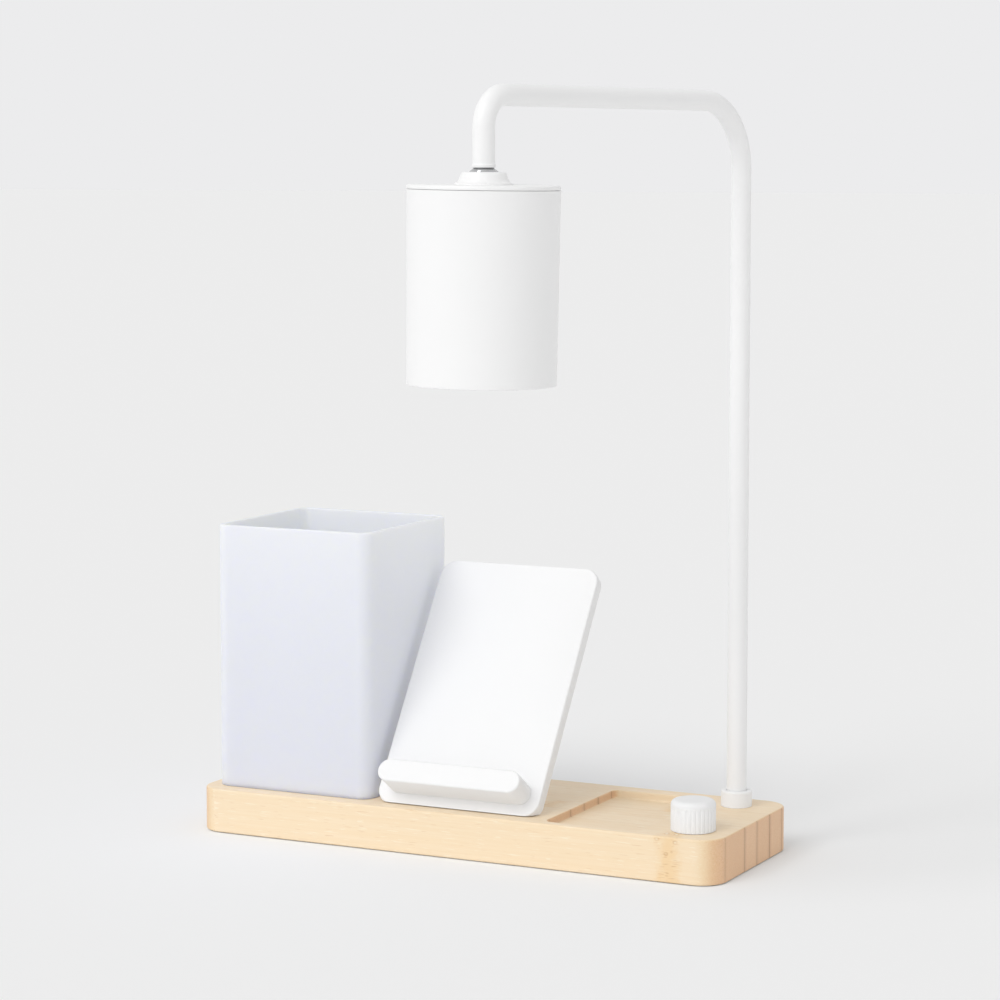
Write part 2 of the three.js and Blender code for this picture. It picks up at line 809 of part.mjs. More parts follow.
const sleeveLow = -collarWood - sleeveReach;
const collarNutTop = -collarWood - seat;
const poleFoot = sleeveLow + sleeveStep + seat;
const poleWasherTop = sleeveLow - seat;
const poleNutTop = poleWasherTop - poleWasherThickness - seat;
const nippleLow = poleNutTop - poleNutHeight - leadEndGap;

function collar() {
  const poleBore = tubeRadius + running;
  const stepBore = nippleRadius + running;
  const top = seat + collarHeight;
  return turnedRing([
    [stepBore, sleeveLow],
    [sleeveRadius, sleeveLow],
    [sleeveRadius, seat],
    [collarRadius, seat],
    ...arc(collarRadius - collarEdge, top - collarEdge, collarEdge, 0, Math.PI / 2, edgeSteps),
    [poleBore, top],
    [poleBore, sleeveLow + sleeveStep],
    [stepBore, sleeveLow + sleeveStep],
  ], mediumSegments);
}

/** The tube's centreline, in the pole's frame, from one height to another beside it. */
function tubeRoute(start, end) {
  const centreHeight = armHeight - boardTop;
  const corners = [
    new THREE.Vector3(0, 0, start),
    new THREE.Vector3(0, 0, centreHeight),
    armDirection.clone().multiplyScalar(armReach).setZ(centreHeight),
    armDirection.clone().multiplyScalar(armReach).setZ(end),
  ];
  return new Route(corners, [poleBend, shadeBend], bendSteps);
}

const tubeFoot = tubeEnd - boardTop;
const tubeBore = tubeRadius - tubeWall;
const ballInPole = ballHeight - boardTop;

const poleGroup = placed(poleX, poleY, boardTop,
  piece('collar', collar(), whiteMetal),
  piece('collar_nut',
    hexNut(collarNutFlats, sleeveRadius + threadGap, collarNutTop - collarNutHeight, collarNutTop), steel),
  piece('pole_arm', swept(tubeRoute(poleFoot, tubeFoot), tubeRadius, tubeBore, smallSegments), whiteMetal),
  piece('pole_nipple', turnedRing([
    [nippleBore, nippleLow],
    [nippleRadius, nippleLow],
    [nippleRadius, poleFoot + nippleInPole],
    [nippleBore, poleFoot + nippleInPole],
  ]), steel),
  piece('pole_washer', turnedRing([
    [nippleRadius + threadGap, poleWasherTop - poleWasherThickness],
    [poleWasherRadius, poleWasherTop - poleWasherThickness],
    [poleWasherRadius, poleWasherTop],
    [nippleRadius + threadGap, poleWasherTop],
  ]), steel),
  piece('pole_nut',
    hexNut(poleNutFlats, nippleRadius + threadGap, poleNutTop - poleNutHeight, poleNutTop), steel),
  piece('lamp_lead',
    swept(tubeRoute(nippleLow + leadEndGap, ballInPole), leadRadius, 0, screwSegments), leadSheath),
);

// Gland and inner leads

function cordGland() {
  const inner = -worksWall - seat;
  return turnedRing([
    [glandBore, inner - glandFlangeThickness],
    [glandFlange, inner - glandFlangeThickness],
    [glandFlange, inner],
    [glandRadius, inner],
    [glandRadius, seat],
    [glandFlange, seat],
    [glandFlange - glandFlangeThickness / 2, seat + glandFlangeThickness],
    [glandBore, seat + glandFlangeThickness],
  ]).rotate(-90, 0, 0);
}

const leadHeight = cardTop + terminalSize[2] / 2;
const leadUnderPole = boardTop + nippleLow - leadEndGap - leadRadius;
const leadTurn = leadTurnShare * leadRadius;
const poleLeadX = terminalX + terminalSize[0] / 4;

/** The lead from the terminal block to below the pole, and the one to the dimmer. */
function poleLeadRoute() {
  const midY = (terminalY + terminalSize[1] / 2 + poleY) / 2;
  return new Route([
    new THREE.Vector3(poleLeadX, terminalY + seat, leadHeight),
    new THREE.Vector3(poleLeadX, midY, leadHeight),
    new THREE.Vector3(poleX - collarNutRoom, poleY, leadUnderPole),
    new THREE.Vector3(poleX + leadRadius, poleY, leadUnderPole),
  ], [leadTurn, leadTurn], leadBendSteps);
}

function dimmerLeadRoute() {
  const height = cardTop + seat + leadRadius;
  const startY = cardFront + leadTurn;
  const turnX = cardLeft + cardLength - leadTurn;
  const end = knobX - dimmerCaseRadius - running;
  return new Route([
    new THREE.Vector3(turnX - 2 * leadTurn, startY, height),
    new THREE.Vector3(turnX, startY, height),
    new THREE.Vector3(turnX, knobY, height),
    new THREE.Vector3(end, knobY, height),
  ], [leadTightShare * leadRadius, leadTightShare * leadRadius], leadBendSteps);
}

const leadGroup = placed(0, 0, 0,
  piece('cord_gland', cordGland(), rubber, glandX, baseDepth / 2, boardBottom + glandHeight),
  piece('pole_lead', swept(poleLeadRoute(), leadRadius, 0, screwSegments), leadSheath),
  piece('dimmer_lead', swept(dimmerLeadRoute(), leadRadius, 0, screwSegments), leadSheath),
);

// Ball swivel and shade, about the ball's centre

/** Height of a sphere's surface at a radius. */
const sphereHeight = (size, radius) => Math.sqrt(size * size - radius * radius);
/** Angle of a sphere's surface at a height. */
const sphereAngle = (size, height) => Math.asin(height / size);

function ballStud() {
  const tubeFace = ballDrop - running;
  const spigot = tubeBore - seat;
  const lowest = sphereHeight(ballRadius, ballBore);
  return turnedRing([
    ...arc(0, 0, ballRadius, -sphereAngle(ballRadius, lowest), Math.acos(ballNeck / ballRadius), ballSteps),
    [ballNeck, tubeFace],
    [spigot, tubeFace],
    [spigot, ballDrop + spigotLength],
    [ballBore, ballDrop + spigotLength],
  ], mediumSegments);
}

const seatRadius = ballRadius + running;
const capTop = capDrop;
const capBottom = capTop - capThickness;
const shellTop = capBottom - seat;
const shellBottom = shellTop - shadeLength;
const shellInner = shadeRadius - shadeWall;

function swivelHousing() {
  const flange = capTop + seat;
  const quarter = Math.PI / 2;
  const shoulder = housingShoulder - housingShoulderEdge;
  return turnedRing([
    [seatRadius, -housingDepth],
    [sleeveOuter, -housingDepth],
    [sleeveOuter, flange],
    [housingFlange, flange],
    ...arc(shoulder, housingTop - housingShoulderEdge, housingShoulderEdge, 0, quarter, edgeSteps),
    ...arc(0, 0, seatRadius, sphereAngle(seatRadius, housingTop), 0, shoulderSteps),
  ], mediumSegments);
}

function pressureCup() {
  const outer = seatRadius - seat;
  const floor = -pressureCupTop - pressureCupHeight;
  const rimAngle = -sphereAngle(seatRadius, pressureCupTop);
  const boreAngle = -Math.acos(pressureCupBore / seatRadius);
  return turnedRing([
    [pressureCupBore, floor],
    [outer, floor],
    [outer, -pressureCupTop],
    ...arc(0, 0, seatRadius, rimAngle, boreAngle, shoulderSteps),
  ], mediumSegments);
}

const plugTop = -pressureCupTop - pressureCupHeight - seat;
const plugBottom = plugTop - plugThickness;

function holderStem() {
  return turnedRing([
    [nippleBore, plugBottom - stemLength],
    [stemRadius, plugBottom - stemLength],
    [stemRadius, plugBottom],
    [seatRadius - seat, plugBottom],
    [seatRadius - seat, plugTop],
    [nippleBore, plugTop],
  ], mediumSegments);
}

function shadeCap() {
  const hole = sleeveOuter + seat;
  const spigot = shellInner - seat;
  return turnedRing([
    [hole, capBottom],
    [spigot - capSpigotWall, capBottom],
    [spigot - capSpigotWall, capBottom - capSpigotDepth],
    [spigot, capBottom - capSpigotDepth],
    [spigot, capBottom],
    [shadeRadius, capBottom],
    ...arc(shadeRadius - capEdge, capTop - capEdge, capEdge, 0, Math.PI / 2, edgeSteps),
    [hole, capTop],
  ], largeSegments);
}

function shadeShell() {
  return turnedRing([
    [shellInner - shadeTaper, shellBottom],
    [shadeRadius - shadeTaper, shellBottom],
    [shadeRadius, shellTop],
    [shellInner, shellTop],
  ], largeSegments);
}

const hubTop = -sinkTopDrop;
const sinkTop = hubTop - sinkHubHeight;
const sinkBottom = sinkTop - sinkThickness;
const ledTop = sinkBottom - seat;
const ledBottom = ledTop - ledBoardThickness;
const ledScrewPlaces = [[ledScrewCircle, 0], [-ledScrewCircle, 0]];
const diffuserTop = sinkBottom - seat - reflectorHeight - seat;
const diffuserBottom = diffuserTop - diffuserThickness;
const insideRadius = shellInner - shadeTaper - diffuserGap;

function heatSink() {
  const core = turnedRing([
    [nippleBore, sinkBottom],
    [sinkRadius, sinkBottom],
    [sinkRadius, sinkTop],
    [sinkHubRadius, sinkTop],
    [sinkHubRadius, hubTop],
    [nippleBore, hubTop],
  ], mediumSegments);
  const fin = block(
    [sinkHubRadius - overrun, -finThickness / 2, sinkTop - overrun],
    [finTip, finThickness / 2, sinkTop + finHeight],
  );
  const fins = Array.from({ length: sinkFins }, (_, i) => fin.rotate(0, 0, (360 * i) / sinkFins));
  const stemFoot = plugBottom - stemLength - seat;
  const screwHole = panScrew(ledScrew, threadGap).rotate(180, 0, 0);
  return cut(
    join(core, ...fins),
    bore(stemRadius + threadGap, stemFoot, hubTop + overrun),
    ...at(ledScrewPlaces, ledBottom, screwHole),
  );
}

function ledBoard() {
  const disc = bar(ledBoardRadius, ledBottom, ledTop, mediumSegments);
  const leadHole = bore(leadRadius + threadGap, ledBottom - overrun, ledTop + overrun);
  const hole = bore(ledScrew.shank + threadGap, ledBottom - overrun, ledTop + overrun);
  return cut(disc, leadHole, ...at(ledScrewPlaces, 0, hole));
}

function reflector() {
  const low = ledTop - reflectorHeight;
  const wide = insideRadius - reflectorWall;
  return turnedRing([
    [wide, low],
    [insideRadius, low],
    [reflectorTopRadius + reflectorWall, ledTop],
    [reflectorTopRadius, ledTop],
  ], largeSegments);
}

const ballGroup = placed(shadeX, shadeY, ballHeight, piece('ball_stud', ballStud(), chrome));
const shadeGroup = placed(shadeX, shadeY, ballHeight,
  piece('swivel_housing', swivelHousing(), whiteMetal),
  piece('housing_nut', hexNut(housingNutFlats, sleeveOuter + threadGap,
    capBottom - seat - housingNutHeight, capBottom - seat), steel),
  piece('pressure_cup', pressureCup(), whitePlastic),
  piece('holder_stem', holderStem(), steel),
  piece('shade_cap', shadeCap(), whiteMetal),
  piece('shade_shell', shadeShell(), whiteMetal),
  piece('heat_sink', heatSink(), aluminium),
  piece('led_board', ledBoard(), whitePlastic),
  ...ledScrewPlaces.map(([x, y], i) =>
    piece(`led_screw_${i + 1}`, panScrew(ledScrew).rotate(180, 0, 0), steel, x, y, ledBottom - seat)),
  piece('reflector', reflector(), whitePlastic),
  piece('diffuser', bar(insideRadius, diffuserBottom, diffuserTop, largeSegments), diffuserWhite),
  piece('diffuser_ring', turnedRing([
    [insideRadius - retainerWidth, diffuserBottom - seat - retainerThickness],
    [insideRadius, diffuserBottom - seat - retainerThickness],
    [insideRadius, diffuserBottom - seat],
    [insideRadius - retainerWidth, diffuserBottom - seat],
  ], largeSegments), steel),
  piece('shade_lead', bar(leadRadius, ledTop, plugTop, screwSegments), leadSheath),
);

shadeGroup.rotation.y = THREE.MathUtils.degToRad(shadeLean);

const lamp = new THREE.Group();
lamp.name = 'desk_lamp_with_organizer';
lamp.add(baseGroup, cupPiece, standGroup, dimmerGroup, controlGroup);
lamp.add(poleGroup, leadGroup, ballGroup, shadeGroup);

export default lamp;
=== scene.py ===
"""Looks of a desk lamp with organizer: a bamboo board with a square cup, a phone stand, a tray, a dimmer
knob and a bent tube, from which a small drum shade hangs.

Sizes are in millimetres in the lamp's own frame: the origin is the centre of the pad under the board,
+X runs along the board to the knob's end, -Y is the board's front and +Z is up.
"""

import json

import bmesh
import bpy
import numpy as np
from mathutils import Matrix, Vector
from mathutils.geometry import delaunay_2d_cdt


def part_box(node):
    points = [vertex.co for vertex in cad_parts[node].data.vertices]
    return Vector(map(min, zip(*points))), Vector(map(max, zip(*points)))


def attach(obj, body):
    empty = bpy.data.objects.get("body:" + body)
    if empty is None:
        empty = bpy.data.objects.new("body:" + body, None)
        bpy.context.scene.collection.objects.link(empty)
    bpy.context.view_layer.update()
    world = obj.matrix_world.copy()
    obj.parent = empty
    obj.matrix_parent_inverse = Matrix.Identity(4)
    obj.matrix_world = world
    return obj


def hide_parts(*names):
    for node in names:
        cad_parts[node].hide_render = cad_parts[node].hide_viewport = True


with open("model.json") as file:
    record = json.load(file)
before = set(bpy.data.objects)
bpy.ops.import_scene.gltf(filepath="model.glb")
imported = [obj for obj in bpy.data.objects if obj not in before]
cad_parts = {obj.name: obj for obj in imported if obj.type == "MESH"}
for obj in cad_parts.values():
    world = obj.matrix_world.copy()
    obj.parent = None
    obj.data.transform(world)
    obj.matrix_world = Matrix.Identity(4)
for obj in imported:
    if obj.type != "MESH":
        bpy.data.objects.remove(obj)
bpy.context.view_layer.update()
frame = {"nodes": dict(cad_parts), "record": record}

MM = 0.001
TURN = 2 * np.pi

# How finely the meshes are divided
COLUMNS = 96
EASE_STEPS = 6
CORNER_STEPS = 14
SUPPORT = 0.15
MERGE = 0.001
SHARP = np.radians(32)
TRIANGLES_INSIDE = 1

# Bamboo board
BOARD_LENGTH = 290
BOARD_DEPTH = 100
BOARD_CORNER = 13.5
BOARD_EDGE = 1
BOARD_BOTTOM = 0.3
BOARD_TOP = 22.8
BOARD_FLAT = 3
REBATE_LENGTH = 276
REBATE_DEPTH = 90
REBATE_CORNER = 8
REBATE_TOP = 3
BALLAST_ROOM_TOP = 11.5
BALLAST_ROOM = ((-122, -28), (42, -28), (42, 39), (-122, 39))
WORKS_ROOM_TOP = 14
WORKS_ROOM = (
    (56, -41), (134.5, -41), (134.5, -16), (120, -16), (120, 16), (134.5, 16), (134.5, 41), (56, 41),
)
ROOM_CORNER = 3
TRAY_CENTRE = (76.78, -2)
TRAY_LENGTH = 50.46
TRAY_DEPTH = 84
TRAY_CORNER = 4
TRAY_FLOOR = 18.8
TRAY_RIM = 0.7
TRAY_FILLET = 0.9
TRAY_MARGIN = 2
TRAY_FLAT = 3
RECESS_RADIUS = 29.3
RECESS_FLOOR = 20.8
RECESS_EDGE = 0.5
RECESS_MARGIN = 2

# Pad under the board
PAD_LENGTH = 275.4
PAD_DEPTH = 89.4
PAD_CORNER = 7.7
PAD_TOP = 0.8
PAD_EDGE = 0.2
PAD_FLAT = 1.5
PAD_HOLE = 4

# Cup
CUP_CENTRE = (-93.85, 4.55)
CUP_SIDE = 89.9
CUP_CORNER = 7.5
CUP_WALL = 2.4
CUP_BOTTOM = 22.85
CUP_FLOOR = 26
CUP_TOP = 159
CUP_LIP = 0.8
CUP_HEEL = 0.3
CUP_FILLET = 2.5
CUP_FLAT = 4
CUP_FLOOR_INSET = 6.6
CUP_FOOT_RADIUS = 29
CUP_FOOT_BOTTOM = 21.2
CUP_FOOT_EDGE = 0.6
CUP_FOOT_FLAT = 2

# Phone stand
STAND_FOOT = (0, -41.1, 23)
STAND_UNDERSIDE = 23.3
STAND_LEAN = np.radians(34)
STAND_WIDTH = 89.9
STAND_LENGTH = 138
STAND_THICKNESS = 6.8
STAND_CORNER = 8.5
STAND_EDGE = 0.8
STAND_FLAT = 3
LEDGE_WIDTH = 78.9
LEDGE_THICKNESS = 12
LEDGE_REACH = 16
LEDGE_RISE = 5.8
LEDGE_EDGE = 1
LEDGE_ROOT = 3.4
LEDGE_FLAT = 3

# Knob
KNOB_CENTRE = (124.8, -30.5)
KNOB_RADIUS = 11
KNOB_BOTTOM = 22.95
KNOB_TOP = 38.1
KNOB_SHOULDER = 2.6
KNOB_FOOT = 0.4
KNOB_RIBS = 30
KNOB_COLUMNS_PER_RIB = 14
KNOB_EASE_STEPS = 10
GROOVE_RADIUS = 0.8
GROOVE_FALL = 0.28
GROOVE_STOP = 3.6
GROOVE_FADE = 0.7
GROOVE_END_ROWS = 9
KNOB_CAVITY = 7.5
KNOB_CAVITY_TOP = 29.1
KNOB_BORE = 3.15
KNOB_BORE_TOP = 35.9

# Collar and tube
POLE_CENTRE = (122.4, 31.5)
COLLAR_RADIUS = 7.8
COLLAR_BOTTOM = 22.85
COLLAR_TOP = 31
COLLAR_EDGE = 0.9
COLLAR_FOOT = 0.1
COLLAR_MOUTH = 0.3
COLLAR_BORE = 5.3
SLEEVE_RADIUS = 6.5
SLEEVE_BOTTOM = 12.6
SLEEVE_STEP = 16
SLEEVE_STEP_BORE = 4.1
TUBE_RADIUS = 5
TUBE_BORE = 4
TUBE_FOOT = 16.2
TUBE_END = 342.4
ARM_HEIGHT = 374.5
ARM_REACH = 208
ARM_TURN = np.radians(79)
POLE_BEND = 33
SHADE_BEND = 14.7
BEND_STEPS = 30
LIP_RADIUS = 5.35
LIP_LENGTH = 1.7
LIP_EDGE = 0.45
LIP_SLOPE = 0.4
LIP_ROOT = 0.3
LIP_SHOULDER = 0.2
LIP_MOUTH = 0.2
LIP_START = LIP_LENGTH * 3

# Ball swivel, heights from the ball's centre
BALL_HEIGHT = 334.1
BALL_RADIUS = 9.3
BALL_NECK = 4.2
BALL_NECK_TOP = 8
BALL_BORE = 2.3
SPIGOT_RADIUS = 3.8
SPIGOT_TOP = 18.3
SEAT_RADIUS = 9.6
BALL_STEPS = 28
HOUSING_BOTTOM = -12.5
HOUSING_SLEEVE = 11
HOUSING_SLEEVE_EDGE = 0.3
HOUSING_FLANGE = 12.9
HOUSING_FLANGE_TOP = 1.5
HOUSING_FLANGE_EDGE = 0.25
HOUSING_WAIST = (11.3, 2.3)
HOUSING_WAIST_ROUND = 3
HOUSING_SHOULDER = 9.8
HOUSING_SHOULDER_EDGE = 1.5
HOUSING_TOP = 6.5

# Shade, heights from the ball's centre
SHADE_LEAN = np.radians(0.8)
SHADE_RADIUS = 34
SHADE_MOUTH_RADIUS = 33.3
SHADE_WALL = 1
SHADE_TOP = -1.3
SHADE_BOTTOM = -87.1
SHADE_LIP = 0.35
CAP_TOP = 0.9
CAP_BOTTOM = -1.1
CAP_EDGE = 1.1
CAP_SEAM_EDGE = 0.2
CAP_HOLE = 11.2
CAP_SPIGOT = 32.8
CAP_SPIGOT_WALL = 1.2
CAP_SPIGOT_BOTTOM = -8.1
DIFFUSER_RADIUS = 32
DIFFUSER_TOP = -58.9
DIFFUSER_BOTTOM = -61.2
DIFFUSER_EDGE = 0.4
RING_BORE = 29.3
RING_TOP = -61.4
RING_BOTTOM = -63
RING_EDGE = 0.3

# Gland in the board's back, lengths out of the board
GLAND_PLACE = (85, 50, 8.6)
GLAND_BORE = 2.2
GLAND_RADIUS = 3.6
GLAND_FLANGE = 5
GLAND_FLANGE_NOSE = 4.2
GLAND_INNER_END = -10.8
GLAND_INNER_FACE = -9.2
GLAND_OUTER_FACE = 0.2
GLAND_OUTER_END = 1.8
GLAND_EDGE = 0.3

# Countersunk screws of the cover, lengths from the head's face
SCREW_NUMBERS = range(1, 6)
SCREW_HEAD = 2.8
SCREW_SHANK = 1.4
SCREW_SINK = 1.4
SCREW_LENGTH = 10
SCREW_HEAD_EDGE = 0.15
CROSS_REACH = 1.5
CROSS_WIDTH = 0.32
CROSS_DEPTH = 0.9
CROSS_SLOPE = 0.18
SCREW_FACE_ROWS = 18


def eased(*corners, closed=False, steps=EASE_STEPS):
    """A flat line through corners given as (across, up, radius).

    Each corner with a radius becomes an arc that touches both its sides. Its centre lies midway between the
    sides, the radius over the sine of half the corner's angle away, and its points turn evenly from one side
    to the other. One more point stands a little way along each side, so that a flat side is shaded flat.
    """
    places = np.array([corner[:2] for corner in corners], float)
    line = []
    for i, (*_, radius) in enumerate(corners):
        place = places[i]
        if radius == 0 or (not closed and i in (0, len(corners) - 1)):
            line.append(place[None])
            continue
        back = places[i - 1] - place
        ahead = places[(i + 1) % len(corners)] - place
        back /= np.linalg.norm(back)
        ahead /= np.linalg.norm(ahead)
        half = np.arccos(np.clip(back @ ahead, -1, 1)) / 2
        middle = (back + ahead) / np.linalg.norm(back + ahead)
        centre = place + middle * radius / np.sin(half)
        reach = radius / np.tan(half)
        start = place + back * reach - centre
        stop = place + ahead * reach - centre
        sweep = np.pi - 2 * half
        share = np.linspace(0, 1, steps + 1)[:, None]
        bend = centre + (np.sin((1 - share) * sweep) * start + np.sin(share * sweep) * stop) / np.sin(sweep)
        line += [(place + back * (reach + SUPPORT))[None], bend, (place + ahead * (reach + SUPPORT))[None]]
    return np.concatenate(line)


def round_corners(length, depth, corner, inset=0.0, centre=(0, 0)):
    """Points round a rectangle whose corners are quarter circles, drawn inwards by each inset in turn.

    A point is the middle of its corner's circle plus (corner - inset) times (cos a, sin a).
    """
    inset = np.atleast_1d(np.asarray(inset, float))[:, None]
    angle = np.linspace(0, TURN / 4, CORNER_STEPS + 1)
    angle = (angle + np.array([[-1], [0], [1], [2]]) * TURN / 4).ravel()
    right = np.repeat([1, 1, -1, -1], CORNER_STEPS + 1) * (length / 2 - corner) + centre[0]
    back = np.repeat([-1, 1, 1, -1], CORNER_STEPS + 1) * (depth / 2 - corner) + centre[1]
    return np.stack([right + (corner - inset) * np.cos(angle), back + (corner - inset) * np.sin(angle)], -1)


def circle(radius, centre=(0, 0), columns=COLUMNS):
    """Points round a circle: its centre plus radius times (cos a, sin a)."""
    angle = np.linspace(0, TURN, columns, endpoint=False)
    return np.stack([centre[0] + radius * np.cos(angle), centre[1] + radius * np.sin(angle)], -1)


def carried(profile, length, depth, corner, centre=(0, 0)):
    """A profile of (inset, height) carried round a rectangle with round corners.

    Each row is the rectangle's outline, drawn inwards by the inset and lifted to the height.
    """
    inset, height = profile.T
    outline = round_corners(length, depth, corner, inset, centre)
    return np.dstack([outline, np.broadcast_to(height[:, None], outline.shape[:2])])


def turned(profile, centre=(0, 0), columns=COLUMNS):
    """A profile of (radius, height) carried once round an upright axis: (r cos a, r sin a, h)."""
    radius, height = np.asarray(profile, float).T
    angle = np.linspace(0, TURN, columns, endpoint=False)
    x = centre[0] + np.outer(radius, np.cos(angle))
    y = centre[1] + np.outer(radius, np.sin(angle))
    return np.dstack([x, y, np.broadcast_to(height[:, None], x.shape)])


def wall(outline, low, high):
    """An upright wall: an outline's points (x, y) at a low and a high z."""
    heights = np.array([low, high], float)[:, None]
    points = np.broadcast_to(outline, (2, *outline.shape))
    return np.dstack([points, np.broadcast_to(heights, points.shape[:2])])


def inside(places, outline):
    """Which places an outline holds: a level line from such a place crosses it an odd number of times."""
    ends = np.roll(outline, -1, axis=0)
    x, y = places.T[:, :, None]
    crosses = (outline[:, 1] > y) != (ends[:, 1] > y)
    rise = np.where(crosses, ends[:, 1] - outline[:, 1], 1)
    reach = outline[:, 0] + (y - outline[:, 1]) * (ends[:, 0] - outline[:, 0]) / rise
    return (crosses & (x < reach)).sum(axis=1) % 2 == 1


def turn_about_x(angle):
    """The matrix that turns points about the X axis."""
    return np.array([[1, 0, 0], [0, np.cos(angle), -np.sin(angle)], [0, np.sin(angle), np.cos(angle)]])


def turn_about_y(angle):
    """The matrix that turns points about the Y axis."""
    return np.array([[np.cos(angle), 0, np.sin(angle)], [0, 1, 0], [-np.sin(angle), 0, np.cos(angle)]])


def placed(name, data):
    """A new object in the scene."""
    made = bpy.data.objects.new(name, data)
    bpy.context.scene.collection.objects.link(made)
    return made


class Form:
    """Curved grids and level fills that close to one solid when their shared points are merged."""

    def __init__(self, origin=(0, 0, 0), turn=None):
        self.origin = np.array(origin, float)
        self.turn = np.eye(3) if turn is None else turn
        self.points = []
        self.faces = []
        self.count = 0

    def add(self, points, faces):
        """Points with the faces between them, numbered from the first of these points."""
        self.points.append(points.reshape(-1, 3))
        self.faces += (faces + self.count).tolist()
        self.count += len(self.points[-1])
        return self

    def grid(self, points, loop=False):
        """Faces between neighbours on a grid whose columns go round; loop joins its last row to its first."""
        rows, columns = points.shape[:2]
        number = np.arange(rows * columns).reshape(rows, columns)
        number = np.hstack([number, number[:, :1]])
        if loop:
            number = np.vstack([number, number[:1]])
        faces = np.stack([number[:-1, :-1], number[:-1, 1:], number[1:, 1:], number[1:, :-1]], -1)
        return self.add(points, faces.reshape(-1, 4))

    def fill(self, height, *outlines):
        """A level face inside the first outline and outside the others."""
        ends = np.cumsum([len(outline) for outline in outlines])
        number = np.arange(ends[-1])
        following = number + 1
        following[ends - 1] = ends - [len(outline) for outline in outlines]
        places = [Vector(place) for place in np.concatenate(outlines)]
        edges = np.stack([number, following], -1).tolist()
        corners, _, faces, *_ = delaunay_2d_cdt(places, edges, [], TRIANGLES_INSIDE, MERGE * MM)
        corners = np.array(corners)
        faces = np.array(faces)
        middles = corners[faces].mean(axis=1)
        for hole in outlines[1:]:
            kept = ~inside(middles, hole)
            faces = faces[kept]
            middles = middles[kept]
        return self.add(np.column_stack([corners, np.full(len(corners), float(height))]), faces)

    def piece(self, name, body, *nodes, floor=None):
        """One mesh object in metres that rides on a body and stands for its CAD nodes.

        Where a floor is given, all that is below that height is cut off level.
        """
        mesh = bpy.data.meshes.new(name)
        points = np.concatenate(self.points) @ self.turn.T + self.origin
        mesh.from_pydata(points * MM, [], self.faces)
        shape = bmesh.new()
        shape.from_mesh(mesh)
        bmesh.ops.remove_doubles(shape, verts=shape.verts, dist=MERGE * MM)
        if floor is not None:
            every = [*shape.verts, *shape.edges, *shape.faces]
            level = Vector((0, 0, floor * MM))
            bmesh.ops.bisect_plane(shape, geom=every, plane_co=level, plane_no=(0, 0, -1), clear_outer=True)
            bmesh.ops.holes_fill(shape, edges=[edge for edge in shape.edges if edge.is_boundary])
        bmesh.ops.recalc_face_normals(shape, faces=shape.faces)
        shape.to_mesh(mesh)
        shape.free()
        mesh.shade_smooth()
        mesh.set_sharp_from_angle(angle=SHARP)
        made = placed(name, mesh)
        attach(made, body)
        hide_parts(*nodes)
        dress(made, SLOT_OF[nodes[0]])


# Materials


def tone(red, green, blue):
    """A colour written as it shows on a screen, 0 to 255, as the linear light that the shader takes."""
    share = np.array([red, green, blue]) / 255
    linear = np.where(share <= 0.04045, share / 12.92, ((share + 0.055) / 1.055) ** 2.4)
    return (*linear.tolist(), 1)


class Tree:
    """Adds nodes to a material or a node group and joins them."""

    def __init__(self, tree):
        self.tree = tree

    def node(self, kind, settings=None, **inputs):
        """A new node with its settings, and with values or outputs put to its inputs."""
        made = self.tree.nodes.new(kind)
        for name, value in (settings or {}).items():
            setattr(made, name, value)
        for name, value in inputs.items():
            self.put(made.inputs[name.replace("_", " ")], value)
        return made

    def put(self, socket, value):
        """Gives an input a value, or joins an output to it."""
        if isinstance(value, bpy.types.NodeSocket):
            self.tree.links.new(value, socket)
        else:
            socket.default_value = value

    def maths(self, operation, *values):
        """One sum on values and outputs."""
        made = self.tree.nodes.new("ShaderNodeMath")
        made.operation = operation
        for socket, value in zip(made.inputs, values):
            self.put(socket, value)
        return made.outputs["Value"]

    def between(self, value, low, high, to_low=0.0, to_high=1.0):
        """A value taken smoothly from one range to another."""
        made = self.node("ShaderNodeMapRange", {"interpolation_type": "SMOOTHSTEP"}, Value=value)
        made.inputs["From Min"].default_value = low
        made.inputs["From Max"].default_value = high
        self.put(made.inputs["To Min"], to_low)
        self.put(made.inputs["To Max"], to_high)
        return made.outputs["Result"]

    def mixed(self, share, first, second, blend="MIX"):
        """Two colours mixed, where a share of 0 is the first alone."""
        made = self.node("ShaderNodeMix", {"data_type": "RGBA", "blend_type": blend})
        self.put(made.inputs[0], share)
        self.put(made.inputs[6], first)
        self.put(made.inputs[7], second)
        return made.outputs[2]

    def laid(self, under, colour, mask, share):
        """A colour laid over another where a mask shows, at a share of its strength."""
        return self.mixed(self.maths("MULTIPLY", mask, share), under, colour)

    def noise(self, vector, scale, detail, roughness):
        """Soft noise between 0 and 1."""
        made = self.node("ShaderNodeTexNoise", Vector=vector, Scale=scale, Detail=detail, Roughness=roughness)
        return made.outputs["Fac"]

    def stretched(self, vector, scale):
        """Coordinates times one number for each axis."""
        made = self.node("ShaderNodeVectorMath", {"operation": "MULTIPLY"})
        self.put(made.inputs[0], vector)
        made.inputs[1].default_value = scale
        return made.outputs["Vector"]

    def grain(self, vector, scale, detail, roughness):
        """Noise drawn out along the grain."""
        return self.noise(self.stretched(vector, scale), 1.0, detail, roughness)


def new_group(name, inputs, outputs):
    """A node group with named sockets, and its input and output nodes."""
    group = bpy.data.node_groups.new(name, "ShaderNodeTree")
    for socket, kind in inputs:
        group.interface.new_socket(socket, in_out="INPUT", socket_type=kind)
    for socket, kind in outputs:
        group.interface.new_socket(socket, in_out="OUTPUT", socket_type=kind)
    tree = Tree(group)
    return tree, tree.node("NodeGroupInput").outputs, tree.node("NodeGroupOutput").inputs


